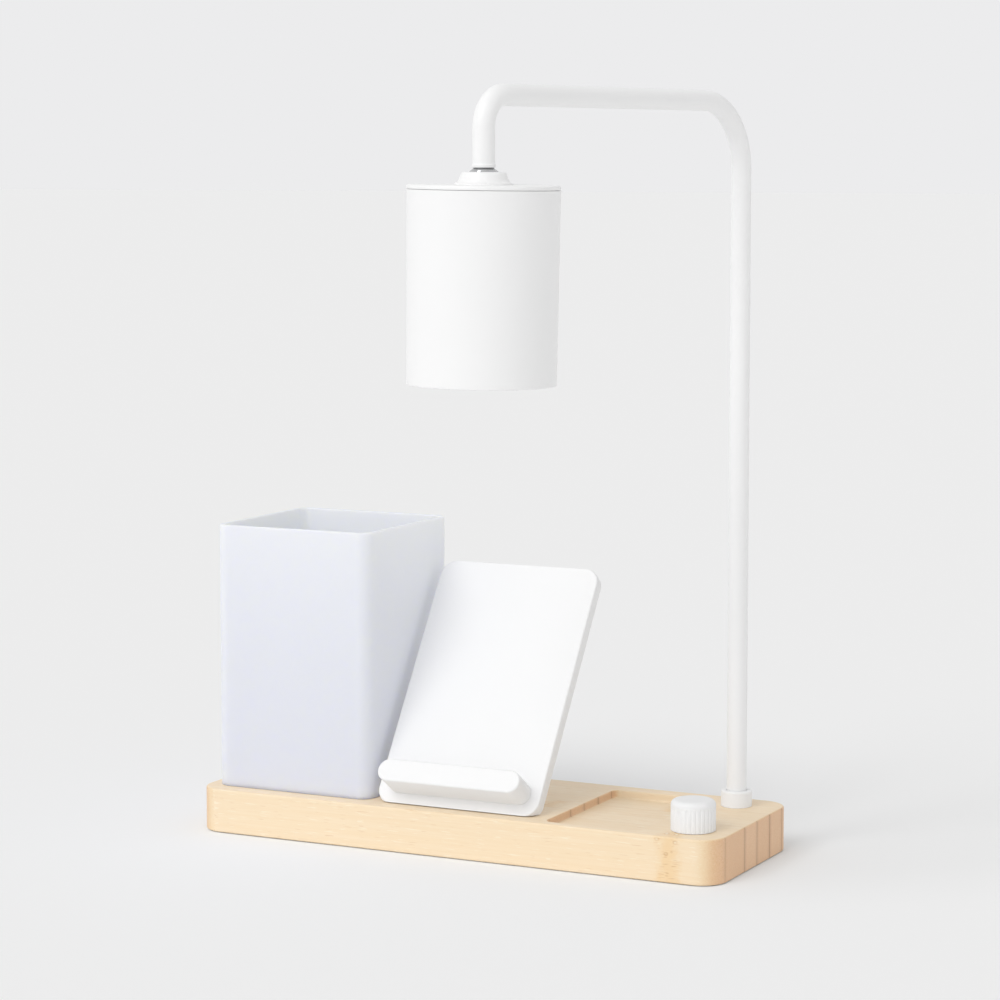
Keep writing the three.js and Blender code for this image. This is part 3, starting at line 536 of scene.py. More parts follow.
# Unevenness of a made surface: the broad noise's scale, detail and roughness, and the fine one's without its
# scale, which is each finish's own
BROAD_NOISE = (28.0, 3.0, 0.55)
FINE_NOISE = (2.0, 0.6)


def surface_finish():
    """Slight unevenness of a made surface: its tone, its roughness and a fine raised grain."""
    tree, given, out = new_group(
        "surface_finish",
        [
            ("Color", "NodeSocketColor"),
            ("Tone Spread", "NodeSocketFloat"),
            ("Roughness", "NodeSocketFloat"),
            ("Roughness Spread", "NodeSocketFloat"),
            ("Grains per Metre", "NodeSocketFloat"),
            ("Grain Depth", "NodeSocketFloat"),
        ],
        [("Color", "NodeSocketColor"), ("Roughness", "NodeSocketFloat"), ("Normal", "NodeSocketVector")],
    )
    place = tree.node("ShaderNodeTexCoord").outputs["Object"]
    broad = tree.noise(place, *BROAD_NOISE)
    fine = tree.noise(place, given["Grains per Metre"], *FINE_NOISE)
    darker = tree.maths("MULTIPLY", broad, given["Tone Spread"])
    shade = tree.maths("SUBTRACT", 1.0, darker)
    grey = tree.node("ShaderNodeCombineColor", Red=shade, Green=shade, Blue=shade).outputs["Color"]
    tree.put(out["Color"], tree.mixed(1.0, given["Color"], grey, "MULTIPLY"))
    both = tree.maths("ADD", tree.maths("MULTIPLY", broad, 0.5), tree.maths("MULTIPLY", fine, 0.5))
    spread = tree.maths("MULTIPLY", tree.maths("SUBTRACT", both, 0.5), given["Roughness Spread"])
    tree.put(out["Roughness"], tree.maths("ADD", given["Roughness"], spread))
    bump = tree.node("ShaderNodeBump", Distance=given["Grain Depth"], Height=fine, Strength=1.0)
    tree.put(out["Normal"], bump.outputs["Normal"])
    return tree.tree


SURFACE_FINISH = surface_finish()


def shader_of(name):
    """A new material, its tree and its shader."""
    material = bpy.data.materials.new(name)
    material.use_nodes = True
    material.node_tree.nodes.clear()
    tree = Tree(material.node_tree)
    shader = tree.node("ShaderNodeBsdfPrincipled")
    tree.node("ShaderNodeOutputMaterial", Surface=shader.outputs["BSDF"])
    return material, tree, shader


def plain_finish(name, colour, roughness, grains, depth, tone_spread=0.02, roughness_spread=0.1, **constants):
    """A material of one made surface, with the shared unevenness; depth is in millimetres.

    Where the tone doesn't spread, the colour is one number all over and goes straight to the shader.
    """
    material, tree, shader = shader_of(name)
    finish = tree.node("ShaderNodeGroup", {"node_tree": SURFACE_FINISH})
    values = (colour, tone_spread, roughness, roughness_spread, grains, depth * MM)
    for socket, value in zip(finish.inputs, values):
        socket.default_value = value
    tree.put(shader.inputs["Base Color"], finish.outputs["Color"] if tone_spread else colour)
    tree.put(shader.inputs["Roughness"], finish.outputs["Roughness"])
    tree.put(shader.inputs["Normal"], finish.outputs["Normal"])
    for socket, value in constants.items():
        shader.inputs[socket.replace("_", " ")].default_value = value
    return material


# Laminated bamboo: strips side by side across the board, each with its far edge, its tone, where its node
# band lies along the board and how much its grain is shifted
STRIPS = (
    (-38.6, 0.35, 120, 0.10),
    (-13.7, 0.60, -64, 0.55),
    (2.4, 0.30, 38, 0.85),
    (19.5, 0.75, -118, 0.30),
    (36.0, 0.45, 92, 0.70),
    (50.1, 0.65, -20, 0.45),
)
GLUE_WIDTH = 0.4
GLUE_HALO = 3
GLUE_DARKNESS = (0.35, 0.75, 0.65, 0.95, 0.65)
GLUE_ON_TOP = 0.16
LIGHT_FIBRE = tone(252, 235, 208)
MIDDLE_FIBRE = tone(248, 226, 192)
DARK_FIBRE = tone(234, 202, 158)
LIGHT_FLECK = tone(255, 246, 226)
DARK_FLECK = tone(214, 172, 122)
GLUE = tone(146, 94, 56)
END_GRAIN = tone(245, 224, 211)
CORNER_GRAIN = tone(234, 200, 146)
NODE_BAND = tone(240, 203, 148)
BOUNCE = tone(236, 231, 224)
BOUNCE_SHARE = 0.65
HALO_AT_LINE = 0.7
HALO_SHARE = 0.32

# Grain of the bamboo: noise along, across and up for each metre, its detail and its roughness
STREAKS = ((9, 620, 620), 4.0, 0.62)
FIBRES = ((34, 2300, 2300), 3.0, 0.6)
FLECKS = ((105, 1500, 1500), 1.0, 0.4)
CLOUDS = ((5, 24, 24), 2.0, 0.5)
DASHES = ((190, 1700, 1700), 1.0, 0.4)
PORES = ((400, 2600, 2600), 2.0, 0.5)
EYE_CELLS = (150, 190, 190)

# Where in its noise each mark shows, and how strongly
STREAK_RANGE = (0.30, 0.72, 0.2, 0.8)
FIBRE_RANGE = (0.52, 0.74)
FIBRE_SHARE = 0.22
STRIP_SHARE = 0.38
CLOUD_SHARE = 0.22
LIGHT_FLECK_RANGE = (0.64, 0.70)
LIGHT_FLECK_SHARE = 0.42
DARK_FLECK_RANGE = (0.33, 0.27)
DARK_FLECK_SHARE = 0.32
BAND_NOISE = (210.0, 3.0, 0.5)
BAND_WANDER = 11 * MM
BAND_RANGE = (8.5 * MM, 0.5 * MM)
BAND_SHARE = 0.55
DASH_RANGE = (0.60, 0.67)
DASH_SHARE = 0.6
EYE_RIM_RANGE = (0.27, 0.19)
EYE_RIM_SHARE = 0.55
EYE_RANGE = (0.16, 0.09)
EYE_SHARE = 0.95
PORE_RANGE = (0.45, 0.7)
PORE_SHARE = 0.12

# How far a face turns towards the board's ends where end grain starts and is whole, and where the corners' is
END_RANGE = (0.35, 0.95)
CORNER_RISE = (0.15, 0.5)
CORNER_FALL = (0.96, 0.7)
CORNER_SHARE = 0.3

# Surface of the bamboo
WOOD_ROUGHNESS = 0.38
FIBRE_ROUGHNESS = 0.16
FIBRE_HEIGHT = 0.6
STREAK_HEIGHT = 0.4
GLUE_GROOVE = 1.5
GRAIN_DEPTH = 0.04 * MM
OIL_COAT = 0.12
OIL_ROUGHNESS = 0.35
WOOD_SPECULAR = 0.4


def across_share(y):
    """A place across the board as a share of its depth."""
    return y / BOARD_DEPTH + 0.5


def stop_at(ramp, place, colour):
    """Adds a stop to a colour ramp."""
    ramp.elements.new(place).color = colour


def strips_across(tree, across):
    """Each strip's tone in red, the place of its node band in green and the shift of its grain in blue."""
    ramp = tree.node("ShaderNodeValToRGB", Fac=across)
    ramp.color_ramp.interpolation = "CONSTANT"
    start = 0.0
    for edge, strip_tone, band, shift in STRIPS:
        stop_at(ramp.color_ramp, start, (strip_tone, band / BOARD_LENGTH + 0.5, shift, 1))
        start = across_share(edge)
    for spare in (len(STRIPS) + 1, 0):
        ramp.color_ramp.elements.remove(ramp.color_ramp.elements[spare])
    return tree.node("ShaderNodeSeparateColor", Color=ramp.outputs["Color"]).outputs


def glue_across(tree, across):
    """The glue lines in red and the darker wood beside them in green."""
    ramp = tree.node("ShaderNodeValToRGB", Fac=across)
    falls = (
        (-GLUE_HALO, 0, 0), (-GLUE_WIDTH, 0, HALO_AT_LINE), (0, 1, 1), (GLUE_WIDTH, 0, HALO_AT_LINE),
        (GLUE_HALO, 0, 0),
    )
    for (edge, *_), darkness in zip(STRIPS, GLUE_DARKNESS):
        for away, line, halo in falls:
            stop_at(ramp.color_ramp, across_share(edge + away), (line * darkness, halo * darkness, 0, 1))
    ramp.color_ramp.elements[0].color = (0, 0, 0, 1)
    ramp.color_ramp.elements[-1].color = (0, 0, 0, 1)
    return tree.node("ShaderNodeSeparateColor", Color=ramp.outputs["Color"]).outputs


def bamboo():
    """Strips of bamboo glued side by side: long fibres, short flecks, node bands, glue lines, end grain.

    The light that it throws on its neighbours is paler than the wood.
    """
    material, tree, shader = shader_of("laminated_bamboo")
    coordinates = tree.node("ShaderNodeTexCoord").outputs
    place = coordinates["Object"]
    axes = tree.node("ShaderNodeSeparateXYZ", Vector=place).outputs
    across = tree.maths("ADD", tree.maths("DIVIDE", axes["Y"], BOARD_DEPTH * MM), 0.5)

    strip = strips_across(tree, across)
    joint = glue_across(tree, across)

    shift = tree.node("ShaderNodeCombineXYZ", X=strip["Blue"], Y=0.0, Z=strip["Blue"]).outputs["Vector"]
    moved = tree.node("ShaderNodeVectorMath", {"operation": "ADD"})
    tree.put(moved.inputs[0], place)
    tree.put(moved.inputs[1], shift)
    grain_place = moved.outputs["Vector"]
    streaks = tree.grain(grain_place, *STREAKS)
    fibres = tree.grain(grain_place, *FIBRES)
    flecks = tree.grain(grain_place, *FLECKS)
    clouds = tree.grain(grain_place, *CLOUDS)
    wood = tree.mixed(tree.between(streaks, *STREAK_RANGE), MIDDLE_FIBRE, LIGHT_FIBRE)
    wood = tree.laid(wood, DARK_FIBRE, tree.between(fibres, *FIBRE_RANGE), FIBRE_SHARE)
    wood = tree.laid(wood, DARK_FIBRE, strip["Red"], STRIP_SHARE)
    wood = tree.laid(wood, DARK_FIBRE, clouds, CLOUD_SHARE)
    wood = tree.laid(wood, LIGHT_FLECK, tree.between(flecks, *LIGHT_FLECK_RANGE), LIGHT_FLECK_SHARE)
    wood = tree.laid(wood, DARK_FLECK, tree.between(flecks, *DARK_FLECK_RANGE), DARK_FLECK_SHARE)

    band = tree.maths("MULTIPLY", tree.maths("SUBTRACT", strip["Green"], 0.5), BOARD_LENGTH * MM)
    wander = tree.maths("SUBTRACT", tree.noise(place, *BAND_NOISE), 0.5)
    wander = tree.maths("MULTIPLY", wander, BAND_WANDER)
    from_band = tree.maths("ADD", tree.maths("SUBTRACT", axes["X"], band), wander)
    in_band = tree.between(tree.maths("ABSOLUTE", from_band), *BAND_RANGE)
    wood = tree.laid(wood, NODE_BAND, in_band, BAND_SHARE)
    dashes = tree.between(tree.grain(grain_place, *DASHES), *DASH_RANGE)
    wood = tree.laid(wood, DARK_FLECK, tree.maths("MULTIPLY", dashes, in_band), DASH_SHARE)
    cells = tree.node("ShaderNodeTexVoronoi", Vector=tree.stretched(place, EYE_CELLS), Scale=1.0)
    rim = tree.between(cells.outputs["Distance"], *EYE_RIM_RANGE)
    eye = tree.between(cells.outputs["Distance"], *EYE_RANGE)
    wood = tree.laid(wood, DARK_FLECK, tree.maths("MULTIPLY", rim, in_band), EYE_RIM_SHARE)
    wood = tree.laid(wood, LIGHT_FLECK, tree.maths("MULTIPLY", eye, in_band), EYE_SHARE)

    facing = tree.node("ShaderNodeSeparateXYZ", Vector=coordinates["Normal"]).outputs["X"]
    facing = tree.maths("ABSOLUTE", facing)
    end = tree.between(facing, *END_RANGE)
    corner = tree.maths("MULTIPLY", tree.between(facing, *CORNER_RISE), tree.between(facing, *CORNER_FALL))
    wood = tree.laid(wood, CORNER_GRAIN, corner, CORNER_SHARE)
    wood = tree.laid(wood, GLUE, tree.maths("MULTIPLY", joint["Green"], end), HALO_SHARE)
    line = tree.maths("MULTIPLY", joint["Red"], tree.between(end, 0.0, 1.0, GLUE_ON_TOP, 1.0))
    wood = tree.mixed(line, wood, GLUE)
    pores = tree.between(tree.grain(grain_place, *PORES), *PORE_RANGE)
    end_wood = tree.mixed(1.0, wood, END_GRAIN, "MULTIPLY")
    end_wood = tree.laid(end_wood, GLUE, pores, PORE_SHARE)
    wood = tree.mixed(end, wood, end_wood)
    bounced = tree.node("ShaderNodeLightPath").outputs["Is Diffuse Ray"]
    tree.put(shader.inputs["Base Color"], tree.laid(wood, BOUNCE, bounced, BOUNCE_SHARE))

    roughness = tree.maths("ADD", tree.maths("MULTIPLY", fibres, FIBRE_ROUGHNESS), WOOD_ROUGHNESS)
    tree.put(shader.inputs["Roughness"], roughness)
    raised = tree.maths("MULTIPLY", fibres, FIBRE_HEIGHT)
    raised = tree.maths("ADD", raised, tree.maths("MULTIPLY", streaks, STREAK_HEIGHT))
    height = tree.maths("SUBTRACT", raised, tree.maths("MULTIPLY", line, GLUE_GROOVE))
    bump = tree.node("ShaderNodeBump", Distance=GRAIN_DEPTH, Strength=1.0, Height=height)
    tree.put(shader.inputs["Normal"], bump.outputs["Normal"])
    shader.inputs["Coat Weight"].default_value = OIL_COAT
    shader.inputs["Coat Roughness"].default_value = OIL_ROUGHNESS
    shader.inputs["Specular IOR Level"].default_value = WOOD_SPECULAR
    return material


# The finish of each slot: its name, colour, roughness, grains for each metre, their depth in millimetres, and
# how far its tone and its roughness spread
MATERIALS = {
    "bamboo": bamboo(),
    "white_metal": plain_finish("white_powder_coat", tone(247, 247, 247), 0.42, 1500, 0.012, 0.012, 0.12),
    "white_plastic": plain_finish("white_satin_plastic", tone(243, 243, 243), 0.5, 2600, 0.008, 0.012, 0.12),
    "frosted_plastic": plain_finish(
        "frosted_plastic", tone(238, 242, 255), 0.5, 1900, 0.01, 0.0, 0.12,
        Subsurface_Weight=1.0, Subsurface_Scale=9 * MM, Subsurface_Radius=(0.95, 0.95, 0.72),
    ),
    "ball_chrome": plain_finish(
        "polished_chrome", tone(195, 196, 197), 0.07, 900, 0.0005, 0.02, 0.03, Metallic=1.0,
    ),
    "pad_rubber": plain_finish("foamed_rubber", tone(58, 58, 60), 0.85, 1400, 0.09, 0.2, 0.1),
    "gland_rubber": plain_finish("moulded_rubber", tone(52, 52, 53), 0.62, 1800, 0.02, 0.1),
    "lead_sheath": plain_finish("lead_sheath", tone(236, 233, 228), 0.55, 1200, 0.01),
    "cover_plastic": plain_finish("textured_dark_plastic", tone(44, 44, 46), 0.6, 2200, 0.05, 0.1),
    "case_plastic": plain_finish("dark_plastic", tone(38, 38, 40), 0.5, 2600, 0.01, 0.08),
    "ballast_steel": plain_finish(
        "cut_plate_steel", tone(168, 169, 172), 0.42, 500, 0.02, 0.2, 0.25, Metallic=1.0,
    ),
    "screw_steel": plain_finish(
        "zinc_plated_screw", tone(196, 198, 202), 0.28, 1500, 0.004, 0.1, 0.2, Metallic=1.0,
    ),
    "shaft_steel": plain_finish(
        "turned_steel", tone(200, 201, 204), 0.25, 2500, 0.004, 0.06, 0.15, Metallic=1.0,
    ),
    "nut_steel": plain_finish(
        "zinc_plated_nut", tone(190, 192, 196), 0.32, 1500, 0.004, 0.1, 0.2, Metallic=1.0,
    ),
    "nut_brass": plain_finish(
        "turned_brass", tone(208, 170, 98), 0.26, 1500, 0.003, 0.08, 0.15, Metallic=1.0,
    ),
    "circuit_board": plain_finish("green_solder_mask", tone(40, 104, 70), 0.35, 900, 0.02, 0.15, 0.15),
    "choke_copper": plain_finish(
        "enamelled_copper", tone(176, 96, 58), 0.35, 1100, 0.15, 0.2, 0.2, Metallic=0.6,
    ),
    "sink_aluminium": plain_finish(
        "cast_aluminium", tone(196, 198, 201), 0.45, 1300, 0.03, 0.1, 0.2, Metallic=1.0,
    ),
    "led_board_white": plain_finish("white_solder_mask", tone(242, 242, 240), 0.4, 900, 0.01),
    "reflector_white": plain_finish("matt_white_reflector", tone(247, 247, 245), 0.7, 2000, 0.01),
    "diffuser_opal": plain_finish(
        "opal_diffuser", tone(247, 246, 242), 0.5, 2400, 0.01, 0.01, 0.1,
        Subsurface_Weight=0.5, Subsurface_Scale=3 * MM,
    ),
}
SLOT_OF = {part["node"]: part["material_slot"] for part in frame["record"]["subparts"]}


def dress(obj, slot):
    """Gives an object the finish of a material slot."""
    obj.data.materials.clear()
    obj.data.materials.append(MATERIALS[slot])


for node, obj in frame["nodes"].items():
    dress(obj, SLOT_OF[node])


# Pieces


def bamboo_board():
    """The board: its eased outer edge, the tray, the cup's recess, and the rebate and rooms below."""
    outer = (BOARD_LENGTH, BOARD_DEPTH, BOARD_CORNER)
    rebate = round_corners(REBATE_LENGTH, REBATE_DEPTH, REBATE_CORNER)[0]
    edge_line = round_corners(*outer, BOARD_FLAT)[0]
    tray = (TRAY_LENGTH, TRAY_DEPTH, TRAY_CORNER, TRAY_CENTRE)
    rooms = [
        (eased(*((x, y, ROOM_CORNER) for x, y in corners), closed=True), top)
        for corners, top in ((BALLAST_ROOM, BALLAST_ROOM_TOP), (WORKS_ROOM, WORKS_ROOM_TOP))
    ]
    side = eased(
        (BOARD_FLAT, BOARD_BOTTOM, 0), (0, BOARD_BOTTOM, BOARD_EDGE), (0, BOARD_TOP, BOARD_EDGE),
        (BOARD_FLAT, BOARD_TOP, 0),
    )
    tray_side = eased(
        (-TRAY_MARGIN, BOARD_TOP, 0), (0, BOARD_TOP, TRAY_RIM), (0, TRAY_FLOOR, TRAY_FILLET),
        (TRAY_FLAT, TRAY_FLOOR, 0),
    )
    recess_side = eased(
        (RECESS_RADIUS + RECESS_MARGIN, BOARD_TOP, 0), (RECESS_RADIUS, BOARD_TOP, RECESS_EDGE),
        (RECESS_RADIUS, RECESS_FLOOR, RECESS_EDGE), (RECESS_RADIUS - RECESS_MARGIN, RECESS_FLOOR, 0),
    )
    board = Form()
    board.grid(carried(side, *outer))
    board.grid(carried(tray_side, *tray))
    board.grid(turned(recess_side, CUP_CENTRE))
    tray_rim, tray_floor = round_corners(*tray[:3], [-TRAY_MARGIN, TRAY_FLAT], TRAY_CENTRE)
    board.fill(BOARD_TOP, edge_line, tray_rim, circle(RECESS_RADIUS + RECESS_MARGIN, CUP_CENTRE))
    board.fill(TRAY_FLOOR, tray_floor)
    board.fill(RECESS_FLOOR, circle(RECESS_RADIUS - RECESS_MARGIN, CUP_CENTRE))
    board.fill(BOARD_BOTTOM, edge_line, rebate)
    board.grid(wall(rebate, BOARD_BOTTOM, REBATE_TOP))
    board.fill(REBATE_TOP, rebate, *(outline for outline, _ in rooms))
    for outline, top in rooms:
        board.grid(wall(outline, REBATE_TOP, top))
        board.fill(top, outline)
    board.piece("bamboo_board", "base", "base_board")


def foam_pad():
    """The pad under the board, with a hole below each screw of the cover."""
    side = eased((PAD_FLAT, 0, 0), (0, 0, PAD_EDGE), (0, PAD_TOP, PAD_EDGE), (PAD_FLAT, PAD_TOP, 0))
    outline = round_corners(PAD_LENGTH, PAD_DEPTH, PAD_CORNER, PAD_FLAT)[0]
    rounds = [circle(PAD_HOLE, screw_place(number)[:2]) for number in SCREW_NUMBERS]
    pad = Form().grid(carried(side, PAD_LENGTH, PAD_DEPTH, PAD_CORNER))
    for height in (0, PAD_TOP):
        pad.fill(height, outline, *rounds)
    for ring in rounds:
        pad.grid(wall(ring, 0, PAD_TOP))
    pad.piece("foam_pad", "base", "underside_pad")


def screw_place(number):
    """Where the face of a cover screw's head is, in millimetres."""
    low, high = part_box(f"cover_screw_{number}")
    return ((low.x + high.x) / 2 / MM, (low.y + high.y) / 2 / MM, low.z / MM)


def cover_screw(number):
    """A countersunk screw: its face is a disc of rings that falls into a cross, and the rest is turned."""
    radius = np.linspace(0, SCREW_HEAD - SCREW_HEAD_EDGE, SCREW_FACE_ROWS)
    face = turned(np.stack([radius, np.zeros(SCREW_FACE_ROWS)], -1))
    aside = np.minimum(np.abs(face[..., 0]), np.abs(face[..., 1]))
    along = np.maximum(np.abs(face[..., 0]), np.abs(face[..., 1]))
    in_cross = np.clip((CROSS_WIDTH + CROSS_SLOPE - aside) / CROSS_SLOPE, 0, 1)
    in_cross *= np.clip((CROSS_REACH + CROSS_SLOPE - along) / CROSS_SLOPE, 0, 1)
    face[..., 2] = CROSS_DEPTH * in_cross
    side = turned([
        (SCREW_HEAD - SCREW_HEAD_EDGE, 0), (SCREW_HEAD, SCREW_HEAD_EDGE), (SCREW_SHANK, SCREW_SINK),
        (SCREW_SHANK, SCREW_LENGTH - SCREW_SHANK), (SCREW_SHANK / 2, SCREW_LENGTH), (0, SCREW_LENGTH),
    ])
    screw = Form(screw_place(number)).grid(face).grid(side)
    screw.piece(f"cross_screw_{number}", "base", f"cover_screw_{number}")


def square_cup():
    """The cup: walls with a round lip and a filleted floor, standing on a round foot."""
    outline = (CUP_SIDE, CUP_SIDE, CUP_CORNER)
    walls = eased(
        (CUP_FLAT, CUP_BOTTOM, 0), (0, CUP_BOTTOM, CUP_HEEL), (0, CUP_TOP, CUP_LIP),
        (CUP_WALL, CUP_TOP, CUP_LIP), (CUP_WALL, CUP_FLOOR, CUP_FILLET), (CUP_FLOOR_INSET, CUP_FLOOR, 0),
    )
    foot = eased(
        (CUP_FOOT_RADIUS - CUP_FOOT_FLAT, CUP_FOOT_BOTTOM, 0),
        (CUP_FOOT_RADIUS, CUP_FOOT_BOTTOM, CUP_FOOT_EDGE), (CUP_FOOT_RADIUS, CUP_BOTTOM, 0),
    )
    underside, floor = round_corners(*outline, [CUP_FLAT, CUP_FLOOR_INSET], CUP_CENTRE)
    cup = Form()
    cup.grid(carried(walls, *outline, CUP_CENTRE))
    cup.grid(turned(foot, CUP_CENTRE))
    cup.fill(CUP_FLOOR, floor)
    cup.fill(CUP_BOTTOM, underside, circle(CUP_FOOT_RADIUS, CUP_CENTRE))
    cup.fill(CUP_FOOT_BOTTOM, circle(CUP_FOOT_RADIUS - CUP_FOOT_FLAT, CUP_CENTRE))
    cup.piece("frosted_cup", "cup", "cup")


def phone_stand():
    """The leaning plate with its ledge, drawn flat and then turned up, and cut level where it stands."""
    middle = (0, STAND_LENGTH / 2)
    ledge_middle = (0, LEDGE_RISE + LEDGE_THICKNESS / 2)
    plate = (STAND_WIDTH, STAND_LENGTH, STAND_CORNER)
    ledge = (LEDGE_WIDTH, LEDGE_THICKNESS, LEDGE_THICKNESS / 2)
    plate_side = eased(
        (STAND_FLAT, 0, 0), (0, 0, STAND_EDGE), (0, -STAND_THICKNESS, STAND_EDGE),
        (STAND_FLAT, -STAND_THICKNESS, 0),
    )
    ledge_side = eased(
        (LEDGE_FLAT, -LEDGE_ROOT, 0), (0, -LEDGE_ROOT, 0), (0, LEDGE_REACH, LEDGE_EDGE),
        (LEDGE_FLAT, LEDGE_REACH, 0),
    )
    plate_line = round_corners(*plate, STAND_FLAT, middle)[0]
    ledge_line = round_corners(*ledge, LEDGE_FLAT, ledge_middle)[0]
    stand = Form(STAND_FOOT, turn_about_x(TURN / 4 - STAND_LEAN))
    stand.grid(carried(plate_side, *plate, middle))
    stand.fill(0, plate_line)
    stand.fill(-STAND_THICKNESS, plate_line)
    stand.grid(carried(ledge_side, *ledge, ledge_middle))
    stand.fill(LEDGE_REACH, ledge_line)
    stand.fill(-LEDGE_ROOT, ledge_line)
    stand.piece("phone_stand", "base", "stand_plate", floor=STAND_UNDERSIDE)


def ribbed_knob():
    """A turned knob whose side is cut back by upright grooves of round section.

    A groove's floor is a circle of the groove's radius, sunk by its fall below the knob's radius. Each point
    keeps the smaller of its turned radius and the groove's floor, and the grooves fade out below the top.
    """
    columns = KNOB_RIBS * KNOB_COLUMNS_PER_RIB
    groove_end = KNOB_TOP - GROOVE_STOP
    fading = np.linspace(groove_end - GROOVE_FADE, groove_end + GROOVE_FADE, GROOVE_END_ROWS)
    profile = eased(
        (0, KNOB_BORE_TOP, 0), (KNOB_BORE, KNOB_BORE_TOP, 0), (KNOB_BORE, KNOB_CAVITY_TOP, 0),
        (KNOB_CAVITY, KNOB_CAVITY_TOP, 0), (KNOB_CAVITY, KNOB_BOTTOM, 0),
        (KNOB_RADIUS, KNOB_BOTTOM, KNOB_FOOT), *((KNOB_RADIUS, height, 0) for height in fading),
        (KNOB_RADIUS, KNOB_TOP, KNOB_SHOULDER), (0, KNOB_TOP, 0), steps=KNOB_EASE_STEPS,
    )
    points = turned(profile, columns=columns)
    angle = np.linspace(0, TURN, columns, endpoint=False)
    pitch = TURN / KNOB_RIBS
    aside = KNOB_RADIUS * ((angle + pitch / 2) % pitch - pitch / 2)
    depth = np.sqrt(np.maximum(GROOVE_RADIUS**2 - aside**2, 0)) - (GROOVE_RADIUS - GROOVE_FALL)
    fade = np.clip((groove_end - points[..., 2]) / GROOVE_FADE + 0.5, 0, 1)
    fade = fade * fade * (3 - 2 * fade)
    floor = KNOB_RADIUS - np.maximum(depth, 0) * fade
    radius = np.hypot(points[..., 0], points[..., 1])
    points[..., :2] *= (np.minimum(radius, floor) / np.maximum(radius, MERGE))[..., None]
    Form((*KNOB_CENTRE, 0)).grid(points).piece("ribbed_knob", "knob", "knob")


def pole_collar():
    """The collar on the board with its sleeve down through it."""
    profile = eased(
        (SLEEVE_STEP_BORE, SLEEVE_BOTTOM, 0), (SLEEVE_RADIUS, SLEEVE_BOTTOM, 0),
        (SLEEVE_RADIUS, COLLAR_BOTTOM, 0), (COLLAR_RADIUS, COLLAR_BOTTOM, COLLAR_FOOT),
        (COLLAR_RADIUS, COLLAR_TOP, COLLAR_EDGE), (COLLAR_BORE, COLLAR_TOP, COLLAR_MOUTH),
        (COLLAR_BORE, SLEEVE_STEP, 0), (SLEEVE_STEP_BORE, SLEEVE_STEP, 0), closed=True,
    )
    Form().grid(turned(profile, POLE_CENTRE), loop=True).piece("pole_collar", "base", "collar")


def bent_tube():
    """The tube: circles carried square to a line of two bends, out along its wall, round its lip and back.

    The line lies in an upright plane, so a circle's point is the line's point plus r cos a along the plane's
    own normal to the line and r sin a along the level direction square to the plane.
    """
    line = eased(
        (0, TUBE_FOOT, 0), (0, ARM_HEIGHT, POLE_BEND), (ARM_REACH, ARM_HEIGHT, SHADE_BEND),
        (ARM_REACH, TUBE_END + LIP_START, 0), steps=BEND_STEPS,
    )
    lip = eased(
        (TUBE_RADIUS, TUBE_END + LIP_START, 0), (TUBE_RADIUS, TUBE_END + LIP_LENGTH, LIP_ROOT),
        (LIP_RADIUS, TUBE_END + LIP_LENGTH - LIP_SLOPE, LIP_SHOULDER), (LIP_RADIUS, TUBE_END, LIP_EDGE),
        (TUBE_BORE, TUBE_END, LIP_MOUTH), (TUBE_BORE, TUBE_END + LIP_START, 0),
    )[1:-1]
    step = np.diff(line, axis=0)
    step /= np.linalg.norm(step, axis=1)[:, None]
    heading = np.concatenate([step[:1], step[:-1] + step[1:], step[-1:]])
    heading /= np.linalg.norm(heading, axis=1)[:, None]
    lip_places = np.stack([np.full(len(lip), float(ARM_REACH)), lip[:, 1]], -1)
    lip_headings = np.broadcast_to([0.0, -1.0], lip_places.shape)
    places = np.concatenate([line, lip_places, line[::-1]])
    headings = np.concatenate([heading, lip_headings, heading[::-1]])
    outside = np.full(len(line), float(TUBE_RADIUS))
    bore = np.full(len(line), float(TUBE_BORE))
    radius = np.concatenate([outside, lip[:, 0], bore])
    angle = np.linspace(0, TURN, COLUMNS, endpoint=False)
    along = np.array([-np.cos(ARM_TURN), -np.sin(ARM_TURN), 0])
    level = np.array([np.sin(ARM_TURN), -np.cos(ARM_TURN), 0])
    up = np.array([0, 0, 1.0])
    centre = places[:, :1] * along + places[:, 1:] * up
    normal = headings[:, 1:] * along - headings[:, :1] * up
    ring = np.cos(angle)[None, :, None] * normal[:, None] + np.sin(angle)[None, :, None] * level
    points = centre[:, None] + radius[:, None, None] * ring
    Form((*POLE_CENTRE, 0)).grid(points, loop=True).piece("bent_tube", "arm", "pole_arm")


def shade_place():
    """The ball's centre."""
    return (
        POLE_CENTRE[0] - ARM_REACH * np.cos(ARM_TURN),
        POLE_CENTRE[1] - ARM_REACH * np.sin(ARM_TURN),
        BALL_HEIGHT,
    )


def ball_arc(radius, start, stop):
    """Points (r cos a, r sin a) of a circle about the ball's centre, from one angle to another."""
    angle = np.linspace(start, stop, BALL_STEPS)
    return np.stack([radius * np.cos(angle), radius * np.sin(angle)], -1)


def swivel_ball():
    """The ball with its neck and the spigot that is pressed into the tube."""
    ball = ball_arc(BALL_RADIUS, -np.arccos(BALL_BORE / BALL_RADIUS), np.arccos(BALL_NECK / BALL_RADIUS))
    stud = [
        (BALL_NECK, BALL_NECK_TOP), (SPIGOT_RADIUS, BALL_NECK_TOP), (SPIGOT_RADIUS, SPIGOT_TOP),
        (BALL_BORE, SPIGOT_TOP),
    ]
    form = Form(shade_place()).grid(turned(np.concatenate([ball, stud])), loop=True)
    form.piece("swivel_ball", "swivel", "ball_stud")


def shade_form(profile):
    """A closed turned profile about the shade's own leaning axis."""
    return Form(shade_place(), turn_about_y(SHADE_LEAN)).grid(turned(profile), loop=True)


